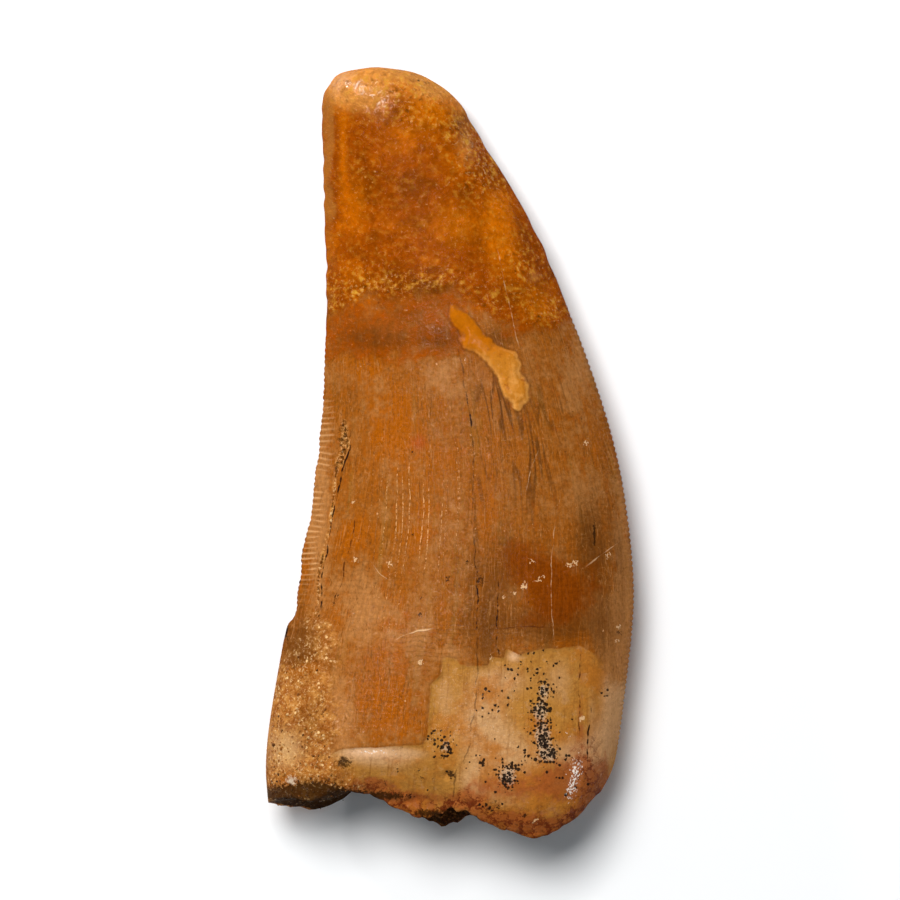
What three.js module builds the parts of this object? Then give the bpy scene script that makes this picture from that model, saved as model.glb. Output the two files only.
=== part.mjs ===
// A fossil tooth of a carcharodontosaurid dinosaur: one thin curved blade with a saw edge down each
// side, broken off at the base and rebuilt at the tip. It is one solid, because crown, rebuilt tip and
// the sandstone left on it are bonded in one piece.
//
// The tooth lies on one of its side faces. +Y runs from the broken base to the tip, +X from the thin
// back edge (distal) to the fuller front edge (mesial), and +Z up from the surface that it lies on.
// The origin is on that surface, under the middle of the tooth. Lengths are in millimetres.

import * as THREE from "three";

const { clamp, lerp, smoothstep } = THREE.MathUtils;

// Thickness of the blade, from one side face to the other
const BASE_THICKNESS = 13.4;
const TIP_THICKNESS = 6.4;
const TAPER_POWER = 1.4;
// The wall draws in a little at the broken rim
const RIM_PINCH = 0.9;
const RIM_PINCH_REACH = 0.09;
// Share of the length where the blade begins to round over into the blunt tip
const TIP_ROUNDING_STARTS = 0.87;
// The crown is bowed: lying down, its middle stands this far off the surface
const BOW = 0.35;
// Depth to which the resting side is worn flat
const REST_FLAT = 0.35;
// Share of the width, from the back edge, at which each side face stands highest
const UPPER_CREST = 0.54;
const LOWER_CREST = 0.6;
// Share of the thickness above the two edges
const UPPER_SHARE = 0.52;

// Saw teeth on the edges: how many the whole length would hold, and how far they stand out
const DENTICLES = 136;
const DENTICLE_HEIGHT = 0.18;
// A saw tooth takes three rows of points: a notch and the two ends of its flat crest
const ROWS_PER_DENTICLE = 3;
// The saw teeth are finer at the base: this is how much coarser they are at the tip
const DENTICLE_GROWTH = 0.5;
// Shares of the length between which each edge keeps its saw teeth
const DISTAL_SAW = [0.25, 0.7];
const MESIAL_SAW = [0.06, 0.6];
// The rebuilt tip has a ragged edge instead: its height, and how many waves the whole length would hold
const RAGGED_EDGE = 0.11;
const DISTAL_WAVES = 19;
const MESIAL_WAVES = 10;
const FINE_MESIAL_WAVES = 24;

// Enamel has broken away over the dentine at the base, below a stepped border and between two sides
const ENAMEL_THICKNESS = 0.25;
const DENTINE_TOP = -18.4;
const DENTINE_SIDES = [-9.6, 14.2];
// The back part of that border is lower, and from there the wall bends down to the arch in the rim
const LEDGE_TOP = -26.8;
const LEDGE_STARTS = -2;
const LEDGE_SIDES = [-8.8, 0.9];
const LEDGE_REACH = 5;
const LEDGE_DROP = 1.9;
// The front corner of the base is worn down towards the rim
const CORNER_TOP = -30.4;
const CORNER_REACH = 4;
const CORNER_DROP = 1.6;
// Sandstone crust on the lower back edge: its height, its width at the rim and at its upper end, and
// where it thins out
const CRUST_HEIGHT = 0.5;
const CRUST_WIDTH = 6.6;
const CRUST_END_WIDTH = 1.2;
const CRUST_THINS = [-17, -13];
// A run of filler set in a gouge, from the rebuilt tip down to a drop: its middle line and half-widths
const FILLER_HEIGHT = 0.35;
const FILLER_TOP = new THREE.Vector3(0.9, 12.4, 0);
const FILLER_DROP = new THREE.Vector3(6.2, 4.8, 0);
const FILLER_HALF_WIDTHS = [0.5, 1.6];
// The rebuilt tip is grit in resin, from here on, and is a little swollen at its end
const GRIT_HEIGHT = 0.12;
const GRIT_STARTS = [0.6, 0.64];
const SWELLING = 0.3;
const SWELLING_STARTS = [0.9, 0.94];
// The broken end: depth of the pulp hollow and the shares of the way in over which it falls away, and
// the relief of the break
const PULP_DEPTH = 3.2;
const PULP_WALL = [0.16, 0.7];
const BREAK_RELIEF = 0.25;

// How finely the solid is faceted
const FINE_ROWS = DENTICLES * ROWS_PER_DENTICLE;
const FINE_ROWS_PER_ROW = 6;
const FACE_COLUMNS = 24;
const RING = 2 * FACE_COLUMNS;
const CAP_ROWS = 8;

// The back edge from the broken corner to the tip, with the step at y = -15 where the crust ends
const DISTAL_EDGE = [
  [-16.4, -31.8],
  [-16.6, -28.5],
  [-16.3, -24.8],
  [-15.5, -19.9],
  [-14.7, -15.9],
  [-13.9, -14.4],
  [-13.1, -9.4],
  [-12.3, -3.5],
  [-11.4, 5.5],
  [-11.1, 15.5],
  [-11.4, 25.0],
  [-11.5, 31.4],
  [-11.1, 33.2],
  [-9.8, 34.6],
  [-6.7, 35.2],
];
// The front edge, a long even bow, from the rounded corner to the tip
const MESIAL_EDGE = [
  [13.6, -30.8],
  [14.9, -27.8],
  [15.9, -21.0],
  [16.6, -13.6],
  [16.2, -7.0],
  [15.0, 0.1],
  [12.8, 7.4],
  [10.0, 14.6],
  [6.8, 21.6],
  [2.2, 29.2],
  [1.0, 31.5],
  [-1.0, 33.4],
  [-3.4, 34.7],
  [-6.7, 35.2],
];
// The broken rim of the upper wall: the crust's corner, an arch, a notch and the long lobe
const UPPER_RIM = [
  [-16.4, -31.8],
  [-15.3, -31.1],
  [-12.4, -30.9],
  [-10.2, -30.2],
  [-7.2, -30.8],
  [-4.2, -32.3],
  [-0.8, -32.5],
  [0.6, -31.7],
  [2.2, -32.7],
  [5.0, -34.0],
  [8.4, -34.7],
  [11.3, -33.2],
  [13.6, -30.8],
];
// The broken rim of the lower wall, which shows past the upper one at the corner and at the notch
const LOWER_RIM = [
  [-16.4, -31.8],
  [-14.8, -32.1],
  [-12.2, -32.0],
  [-9.6, -30.8],
  [-6.6, -31.4],
  [-3.8, -32.8],
  [-1.6, -34.0],
  [-0.2, -34.1],
  [1.6, -33.1],
  [8.2, -33.6],
  [13.6, -30.8],
];

// Turns a list of pairs into a smooth curve through them.
function curveThrough(pairs) {
  const curve = new THREE.SplineCurve(
    pairs.map(([x, y]) => new THREE.Vector2(x, y)),
  );
  curve.arcLengthDivisions = 1600;
  return curve;
}

const distalEdge = curveThrough(DISTAL_EDGE);
const mesialEdge = curveThrough(MESIAL_EDGE);

// Samples a rim as a function: how far it lies below or above the straight line between its ends.
function rimOffset(pairs) {
  const samples = curveThrough(pairs).getPoints(20 * pairs.length);
  const [start, end] = [samples[0], samples.at(-1)];
  return (across) => {
    const x = lerp(start.x, end.x, across);
    const next = samples.findIndex((point) => point.x >= x);
    const [a, b] = [samples[Math.max(next - 1, 0)], samples[Math.max(next, 1)]];
    const y = lerp(a.y, b.y, (x - a.x) / (b.x - a.x));
    return y - lerp(start.y, end.y, across);
  };
}

const upperRim = rimOffset(UPPER_RIM);
const lowerRim = rimOffset(LOWER_RIM);
// Share of the length over which the rows of points straighten out, away from the ragged rim
const RIM_FADES_AT = 0.3;

// 1 between the two limits and 0 outside them, with soft ends.
function between(value, [low, high], softness = 0.02) {
  return (
    smoothstep(value, low - softness, low + softness) *
    (1 - smoothstep(value, high - softness, high + softness))
  );
}

// A smooth uneven wave between -1 and 1 in the plane, for lumps with no pattern to see.
function lumps(x, y, size) {
  const [a, b] = [x / size, y / size];
  const swirl = 1.7 * Math.sin(1.3 * a - 0.8 * b);
  return (
    0.5 * Math.sin(2.1 * a + 1.7 * b + swirl) +
    0.5 * Math.sin(3.7 * b - 2.9 * a + 1.3 * swirl)
  );
}

// The share of the full height that a side face has at a place across the blade. Each flank falls as
// (1 - t^p)^q: a low q gives a blunt edge, as at the base and tip, and a high q a knife edge.
function flank(across, along, crest, isUpper) {
  const blunt = Math.max(
    1 - smoothstep(along, 0.02, 0.3),
    0.6 * smoothstep(along, 0.75, 0.95),
  );
  if (across < crest) {
    const t = (crest - across) / crest;
    const rounding = isUpper ? 2.0 : 2.5;
    return (1 - t ** lerp(rounding, 3.2, blunt)) ** lerp(1.0, 0.5, blunt);
  }
  const t = (across - crest) / (1 - crest);
  return (1 - t ** lerp(2.5, 3.0, blunt)) ** lerp(0.72, 0.5, blunt);
}

function thickness(along) {
  const taper = lerp(BASE_THICKNESS, TIP_THICKNESS, along ** TAPER_POWER);
  const pinch = RIM_PINCH * Math.max(0, 1 - along / RIM_PINCH_REACH) ** 2;
  return taper - pinch;
}

// How much of the thickness is left where the blade rounds over at the tip.
function tipRounding(along) {
  const t = Math.max(0, (along - TIP_ROUNDING_STARTS) / (1 - TIP_ROUNDING_STARTS));
  return Math.sqrt(Math.max(0, 1 - t ** 2.2));
}

// The height of the two edges above the surface that the tooth lies on.
function edgeHeight(along) {
  const held = Math.min(along, TIP_ROUNDING_STARTS);
  const bow = BOW * Math.sin(Math.PI * held);
  return (1 - UPPER_SHARE) * thickness(held) + bow - REST_FLAT;
}

// What stands out from or is sunk into the upper face at a point, in millimetres.
function upperRelief(x, y, across, along) {
  const dentineTop = x < LEDGE_STARTS ? LEDGE_TOP : DENTINE_TOP - 0.3 * Math.sin(2 * x);
  const dentine =
    (1 - smoothstep(y, dentineTop - 0.4, dentineTop + 0.4)) *
    between(x, DENTINE_SIDES, 0.8);
  const belowLedge = clamp((LEDGE_TOP - y) / LEDGE_REACH, 0, 1);
  const ledge = LEDGE_DROP * belowLedge ** 1.5 * between(x, LEDGE_SIDES, 2.2);
  const belowCorner = clamp((CORNER_TOP - y) / CORNER_REACH, 0, 1);
  const corner = CORNER_DROP * belowCorner ** 2 * smoothstep(x, 0, 4);
  const crustWidth = lerp(CRUST_WIDTH, CRUST_END_WIDTH, smoothstep(y, -30, -14));
  const fromEdge = x - distalEdge.getPointAt(along).x;
  const crust =
    CRUST_HEIGHT *
    (1 - smoothstep(fromEdge, crustWidth - 0.9, crustWidth + 0.9)) *
    (1 - smoothstep(y, ...CRUST_THINS)) *
    (1 + 0.6 * lumps(x, y, 1.1));
  const run = new THREE.Line3(FILLER_TOP, FILLER_DROP);
  const here = new THREE.Vector3(x, y, 0);
  const nearest = run.closestPointToPoint(here, true, new THREE.Vector3());
  const filler =
    FILLER_HEIGHT * (1 - smoothstep(nearest.distanceTo(here), ...FILLER_HALF_WIDTHS));
  const grit = GRIT_HEIGHT * smoothstep(along, ...GRIT_STARTS) * lumps(x, y, 1.4);
  const swelling =
    SWELLING * smoothstep(along, ...SWELLING_STARTS) * Math.sin(Math.PI * across);
  return crust + filler + grit + swelling - ENAMEL_THICKNESS * dentine - ledge - corner;
}

// How far an edge stands out from its smooth line at a row of points.
function edgeRelief(row, along, isDistal) {
  const saw = between(along, isDistal ? DISTAL_SAW : MESIAL_SAW);
  const isNotch = row % ROWS_PER_DENTICLE === 0;
  const rebuilt = smoothstep(along, 0.6, 0.66) * (1 - smoothstep(along, 0.9, 0.96));
  const turn = 2 * Math.PI * along;
  const ragged = isDistal
    ? Math.sin(DISTAL_WAVES * turn)
    : Math.sin(MESIAL_WAVES * turn) + 0.5 * Math.sin(FINE_MESIAL_WAVES * turn);
  return (isNotch ? -DENTICLE_HEIGHT * saw : 0) + RAGGED_EDGE * rebuilt * ragged;
}

// How far along the tooth a row lies. The rows are closer together at the base, as the denticles are.
function alongAt(row) {
  const t = row / FINE_ROWS;
  return (t * (1 + 0.5 * DENTICLE_GROWTH * t)) / (1 + 0.5 * DENTICLE_GROWTH);
}

// The place of a column: 0 is the back edge, FACE_COLUMNS the front edge. The columns run over the
// upper face and back under the lower one, and lie closer together near the two edges.
function acrossAt(column) {
  const step = (column <= FACE_COLUMNS ? column : RING - column) / FACE_COLUMNS;
  const rounded = (1 - Math.cos(Math.PI * step)) / 2;
  return lerp(step, rounded, 0.35);
}

// The point of the side faces at a row and a column.
function facePoint(row, column) {
  const along = alongAt(row);
  const across = acrossAt(column);
  const isUpper = column <= FACE_COLUMNS;
  const distal = distalEdge.getPointAt(along);
  const mesial = mesialEdge.getPointAt(along);
  const plan = distal.clone().lerp(mesial, across);
  const straighten = Math.max(0, 1 - along / RIM_FADES_AT) ** 2;
  plan.y += (isUpper ? upperRim : lowerRim)(across) * straighten;

  const isEdge = column % FACE_COLUMNS === 0;
  if (isEdge && along < 1) {
    const isDistal = column === 0;
    const outward = isDistal
      ? distalEdge.getTangentAt(along).rotateAround(new THREE.Vector2(), Math.PI / 2)
      : mesialEdge.getTangentAt(along).rotateAround(new THREE.Vector2(), -Math.PI / 2);
    plan.addScaledVector(outward, edgeRelief(row, along, isDistal));
    return new THREE.Vector3(plan.x, plan.y, edgeHeight(along));
  }

  const full = thickness(along) * tipRounding(along);
  const inside = Math.sin(Math.PI * across) ** 0.5 * tipRounding(along);
  if (isUpper) {
    const rise = UPPER_SHARE * full * flank(across, along, UPPER_CREST, true);
    const relief = upperRelief(plan.x, plan.y, across, along) * inside;
    return new THREE.Vector3(plan.x, plan.y, edgeHeight(along) + rise + relief);
  }
  const fall = (1 - UPPER_SHARE) * full * flank(across, along, LOWER_CREST, false);
  const grit = GRIT_HEIGHT * smoothstep(along, ...GRIT_STARTS) * lumps(plan.x, plan.y, 1.6);
  const height = edgeHeight(along) - fall + grit * inside;
  return new THREE.Vector3(plan.x, plan.y, Math.max(0, height));
}

// The point of the broken end at a share of the way in from the rim (0) to its middle (1).
function breakPoint(inward, rimPoint, middle) {
  const point = rimPoint.clone().lerp(middle, inward);
  const level = lerp(rimPoint.y, middle.y, smoothstep(inward, 0, 0.6));
  const hollow = PULP_DEPTH * smoothstep(inward, ...PULP_WALL);
  const rough = BREAK_RELIEF * lumps(point.x, point.z, 2.4) * Math.sin(Math.PI * inward);
  point.y = level + hollow + rough;
  return point;
}

// Fills the strip between two columns of points, which may have different numbers of rows.
function stitch(left, right, triangles) {
  const middle = (chain, i) => (chain[i].row + chain[i + 1].row) / 2;
  const add = (a, b, c) => {
    if (a !== b && b !== c && c !== a) triangles.push(a, b, c);
  };
  let i = 0;
  let j = 0;
  while (i < left.length - 1 || j < right.length - 1) {
    const leftIsDone = i === left.length - 1;
    const rightIsDone = j === right.length - 1;
    if (!leftIsDone && (rightIsDone || middle(left, i) <= middle(right, j))) {
      add(left[i].index, right[j].index, left[i + 1].index);
      i += 1;
    } else {
      add(left[i].index, right[j].index, right[j + 1].index);
      j += 1;
    }
  }
}

// The whole surface: a tube of columns from the middle of the broken end to the tip. The two edge
// columns have every row, for the saw teeth, and the others one row in FINE_ROWS_PER_ROW.
function toothGeometry() {
  const points = [];
  const indexOf = (point) => points.push(point) - 1;

  // The break is hollow: its middle lies level with the highest point of the rim
  const rim = Array.from({ length: RING }, (_, column) => facePoint(0, column));
  const middle = rim[0].clone().lerp(rim[FACE_COLUMNS], 0.5);
  middle.y = Math.max(...rim.map((point) => point.y));
  const centre = { row: -CAP_ROWS, index: indexOf(breakPoint(1, middle, middle)) };
  const tip = { row: FINE_ROWS, index: indexOf(facePoint(FINE_ROWS, 0)) };

  const chains = [];
  for (let column = 0; column < RING; column += 1) {
    const chain = [centre];
    for (let cap = 1; cap < CAP_ROWS; cap += 1) {
      const point = breakPoint(1 - cap / CAP_ROWS, rim[column], middle);
      chain.push({ row: cap - CAP_ROWS, index: indexOf(point) });
    }
    const isEdge = column % FACE_COLUMNS === 0;
    const step = isEdge ? 1 : FINE_ROWS_PER_ROW;
    for (let row = 0; row < FINE_ROWS; row += step) {
      chain.push({ row, index: indexOf(facePoint(row, column)) });
    }
    chain.push(tip);
    chains.push(chain);
  }

  const triangles = [];
  chains.forEach((chain, column) => {
    stitch(chain, chains[(column + 1) % RING], triangles);
  });
  return new THREE.BufferGeometry().setFromPoints(points).setIndex(triangles);
}

// Puts the middle of the geometry's plan over the origin.
function centred(geometry) {
  geometry.computeBoundingBox();
  const middle = geometry.boundingBox.getCenter(new THREE.Vector3());
  return geometry.translate(-middle.x, -middle.y, 0);
}

// Polished enamel stained by iron, the colour that most of the tooth has
const ironStainedEnamel = new THREE.MeshStandardMaterial({
  color: 0xb0682c,
  roughness: 0.4,
  metalness: 0,
});

const tooth = new THREE.Mesh(centred(toothGeometry()), ironStainedEnamel);
tooth.name = "tooth";
tooth.geometry.computeVertexNormals();

const specimen = new THREE.Group();
specimen.add(tooth);

export default specimen;
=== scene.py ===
"""The looks of a fossil tooth of a carcharodontosaurid dinosaur, lying on one side face.

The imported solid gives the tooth's place and size. This script lays a fine skin over it, worked out from
the same outline: a curved blade with saw edges, a tip rebuilt with sand in resin, a run of filler, bare
dentine at the broken base, and sandstone left on the back edge. +Y runs from the base to the tip, +X from
the thin back edge (distal) to the front edge (mesial), and +Z up. Shapes are worked out in millimetres.
"""

import logging
import math
from collections.abc import Sequence
from dataclasses import dataclass, field
from enum import Enum, IntEnum
from itertools import combinations

import bpy
import numpy as np
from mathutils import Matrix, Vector


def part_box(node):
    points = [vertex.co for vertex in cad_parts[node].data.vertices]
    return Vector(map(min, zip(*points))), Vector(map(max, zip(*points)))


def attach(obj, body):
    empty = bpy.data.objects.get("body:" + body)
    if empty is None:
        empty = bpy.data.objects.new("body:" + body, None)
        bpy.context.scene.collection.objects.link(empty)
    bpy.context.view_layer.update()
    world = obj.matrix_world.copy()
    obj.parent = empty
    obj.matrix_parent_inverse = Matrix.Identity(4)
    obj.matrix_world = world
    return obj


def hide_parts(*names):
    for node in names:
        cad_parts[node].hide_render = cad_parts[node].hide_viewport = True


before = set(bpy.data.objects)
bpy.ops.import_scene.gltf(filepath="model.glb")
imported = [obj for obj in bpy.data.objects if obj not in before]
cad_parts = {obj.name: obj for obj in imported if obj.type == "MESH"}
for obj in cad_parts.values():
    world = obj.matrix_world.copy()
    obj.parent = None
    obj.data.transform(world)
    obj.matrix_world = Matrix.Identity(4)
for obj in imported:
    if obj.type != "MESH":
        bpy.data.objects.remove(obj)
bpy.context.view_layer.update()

log = logging.getLogger("tooth")

Array = np.ndarray
Outline = Sequence[tuple[float, float]]
Socket = bpy.types.NodeSocket

MM = 0.001
ROOT_BODY = "root"
NODE = "tooth"

# The photograph: its side in pixels, and how large it shows the tooth at the height of its edges
PHOTO_SIDE_PX = 900
PX_PER_MM = 11.0
PHOTO_MIDDLE_PX = (450.0, 451.0)

# How far the borders of small marks are drawn out of shape, and the spacing of sand grains
WARP_MM = 1.3
GRAIN_MM = 0.36
# Where the lower face's patterns start to be moved, so that they don't repeat the upper one's, and how far
FACES_MEET_MM = (5.5, 4.5)
LOWER_SHIFT_MM = 9.0
# The third of the blade's coordinates is so much more from one part of the surface to the next
FACES_APART_MM = 10.0
# How far signed distances are carried by the mesh: those to a border, and those to a crack
FIELD_REACH = 3.0
CRACK_REACH = 0.8
# Farther than any mark
FAR_AWAY = 1000.0


class Face(IntEnum):
    """The parts of the surface that are finished differently."""

    UPPER = 0
    LOWER = 1
    BREAK = 2


class Runs(Enum):
    """Which way a crack or scratch mostly runs."""

    ALONG = "along the blade"
    ACROSS = "across the blade"


def linear(colour: str) -> tuple[float, float, float, float]:
    """Turns an sRGB hex colour to linear light.

    Args:
        colour: Six hex digits after a hash, such as "#B0682C".

    Returns:
        Red, green, blue and an alpha of 1.
    """
    channels = [int(colour[i : i + 2], 16) / 255 for i in (1, 3, 5)]
    curved = [c / 12.92 if c <= 0.04045 else ((c + 0.055) / 1.055) ** 2.4 for c in channels]
    return (*curved, 1.0)


def smooth_step(value: Array, low: float, high: float) -> Array:
    """Rises from 0 at low to 1 at high as 3t^2 - 2t^3.

    Args:
        value: Where to work it out.
        low: Where it leaves 0.
        high: Where it reaches 1.

    Returns:
        The share risen, from 0 to 1.
    """
    t = np.clip((value - low) / (high - low), 0, 1)
    return t * t * (3 - 2 * t)


def between(value: Array, low: float, high: float, softness: float) -> Array:
    """1 between two limits and 0 outside them: the product of a rise at low and a fall at high.

    Args:
        value: Where to work it out.
        low: The lower limit.
        high: The upper limit.
        softness: Half the length of each rise.

    Returns:
        A share from 0 to 1.
    """
    rise = smooth_step(value, low - softness, low + softness)
    return rise * (1 - smooth_step(value, high - softness, high + softness))


def cloud(x: Array, y: Array, size: float, seed: int) -> Array:
    """Smooth noise: a random height at each corner of a grid of squares, blended across each square.

    Args:
        x: First coordinate.
        y: Second coordinate.
        size: Side of a square, in the same unit.
        seed: Chooses the heights.

    Returns:
        Heights from -1 to 1.
    """
    side = 256
    heights = np.random.default_rng(seed).uniform(-1, 1, (side, side))
    across, up = x / size, y / size
    column, row = np.floor(across).astype(int), np.floor(up).astype(int)
    s, t = smooth_step(across - column, 0, 1), smooth_step(up - row, 0, 1)
    west, east = column % side, (column + 1) % side
    south, north = row % side, (row + 1) % side
    low = heights[west, south] * (1 - s) + heights[east, south] * s
    high = heights[west, north] * (1 - s) + heights[east, north] * s
    return low * (1 - t) + high * t


def rough_cloud(x: Array, y: Array, size: float, seed: int) -> Array:
    """Three clouds on top of each other, each half as large and half as high as the last.

    Args:
        x: First coordinate.
        y: Second coordinate.
        size: Side of the largest cloud's squares.
        seed: Chooses the heights.

    Returns:
        Heights from about -1 to 1.
    """
    layers = [cloud(x, y, size / 2**i, seed + i) / 2**i for i in range(3)]
    return sum(layers) / 1.5


def spline(points: Outline, share: Array) -> Array:
    """A Catmull-Rom curve through points: between two of them, the cubic whose slope at each point is
    half the way between its neighbours.

    Args:
        points: The points that the curve passes through.
        share: Where to read it, from 0 at the first point to 1 at the last, evenly by point.

    Returns:
        x and y in the last axis.
    """
    knots = np.asarray(points, float)
    place = np.clip(share, 0, 1) * (len(knots) - 1)
    first = np.minimum(place.astype(int), len(knots) - 2)
    t = (place - first)[..., None]
    before, start = knots[np.maximum(first - 1, 0)], knots[first]
    end, after = knots[first + 1], knots[np.minimum(first + 2, len(knots) - 1)]
    leave, arrive = (end - before) / 2, (after - start) / 2
    cubic = 2 * start - 2 * end + leave + arrive
    square = 3 * end - 3 * start - 2 * leave - arrive
    return ((cubic * t + square) * t + leave) * t + start


def spline_by_length(points: Outline, share: Array) -> Array:
    """The same curve, read evenly by its length.

    Args:
        points: The points that the curve passes through.
        share: Share of the curve's length, from 0 to 1.

    Returns:
        x and y in the last axis.
    """
    even = np.linspace(0, 1, 4001)
    steps = np.linalg.norm(np.diff(spline(points, even), axis=0), axis=1)
    length = np.concatenate([[0], np.cumsum(steps)])
    return spline(points, np.interp(share * length[-1], length, even))


def distance_to_line(x: Array, y: Array, line: Outline) -> Array:
    """Distance to an open line of straight stretches: the least of the distances to each stretch.

    Args:
        x: Where to measure, first coordinate.
        y: Where to measure, second coordinate.
        line: The line's points.

    Returns:
        The distances.
    """
    nearest = np.full(np.broadcast(x, y).shape, np.inf)
    for (ax, ay), (bx, by) in zip(line, line[1:]):
        dx, dy = bx - ax, by - ay
        t = np.clip(((x - ax) * dx + (y - ay) * dy) / (dx * dx + dy * dy), 0, 1)
        nearest = np.minimum(nearest, np.hypot(x - ax - t * dx, y - ay - t * dy))
    return nearest


def depth_inside(x: Array, y: Array, outline: Outline) -> Array:
    """Distance to a closed outline, positive inside it. A point is inside where a ray from it crosses
    the outline an odd number of times.

    Args:
        x: Where to measure, first coordinate.
        y: Where to measure, second coordinate.
        outline: The corners, without the first repeated.

    Returns:
        The signed distances.
    """
    closed = [*outline, outline[0]]
    inside = np.zeros(np.broadcast(x, y).shape, bool)
    for (ax, ay), (bx, by) in zip(closed, closed[1:]):
        if ay != by:
            crossing = ax + (y - ay) * (bx - ax) / (by - ay)
            inside ^= ((ay > y) != (by > y)) & (x < crossing)
    distance = distance_to_line(x, y, closed)
    return np.where(inside, distance, -distance)


@dataclass(frozen=True)
class Patch:
    """A soft oval patch on a face: its middle and half-sizes in millimetres, and its strength."""

    x: float
    y: float
    half_x: float
    half_y: float
    strength: float = 1.0


@dataclass(frozen=True)
class Spot:
    """A small mark with a fairly sharp border on the upper face: its middle and radius in millimetres."""

    x: float
    y: float
    radius: float


def patches(x: Array, y: Array, ovals: Sequence[Patch]) -> Array:
    """Adds up soft ovals: each is its strength times exp(-(distance / half-size)^2).

    Args:
        x: First coordinate.
        y: Second coordinate.
        ovals: The patches.

    Returns:
        Their sum, kept within 0 and 1.
    """
    total = np.zeros(np.broadcast(x, y).shape)
    for oval in ovals:
        squared = ((x - oval.x) / oval.half_x) ** 2 + ((y - oval.y) / oval.half_y) ** 2
        total = total + oval.strength * np.exp(-squared)
    return np.clip(total, 0, 1)


@dataclass(frozen=True)
class Crack:
    """A thin line on the upper face, drawn where its signed distance is 0."""

    line: Outline
    runs: Runs = Runs.ALONG
    bold: Outline = ()
    faint: float = 1.0
    fade: float = 1.0
    wobble: float = 0.12
    seed: int = 0

    def turned(self, x: Array, y: Array) -> tuple[Array, Array]:
        """The coordinate that the crack mostly runs along, and the other one."""
        return (y, x) if self.runs is Runs.ALONG else (x, y)

    def offset(self, x: Array, y: Array) -> Array:
        """How far points lie to one side of the crack: x less the crack's x at that y, or y less its y
        at that x, kept within CRACK_REACH.

        Args:
            x: First coordinate.
            y: Second coordinate.

        Returns:
            The signed distances.
        """
        near, far = self.turned(x, y)
        places, values = zip(*sorted(self.turned(*point) for point in self.line))
        coarse = cloud(near, near * 0, 0.9, self.seed)
        bend = self.wobble * (coarse + cloud(near, near * 0, 0.35, self.seed + 1) / 2)
        return np.clip(far - np.interp(near, places, values) - bend, -CRACK_REACH, CRACK_REACH)

    def strength(self, x: Array, y: Array) -> Array:
        """1 along the crack, fading to 0 past its ends.

        Args:
            x: First coordinate.
            y: Second coordinate.

        Returns:
            A share from 0 to 1.
        """
        near, _ = self.turned(x, y)
        places = [self.turned(*point)[0] for point in self.line]
        half = self.fade / 2
        ends = between(near, min(places) + half, max(places) - half, half)
        bold = sum((between(near, low, high, half) for low, high in self.bold), start=0 * near)
        return ends * np.clip(self.faint + bold, 0, 1)


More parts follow.
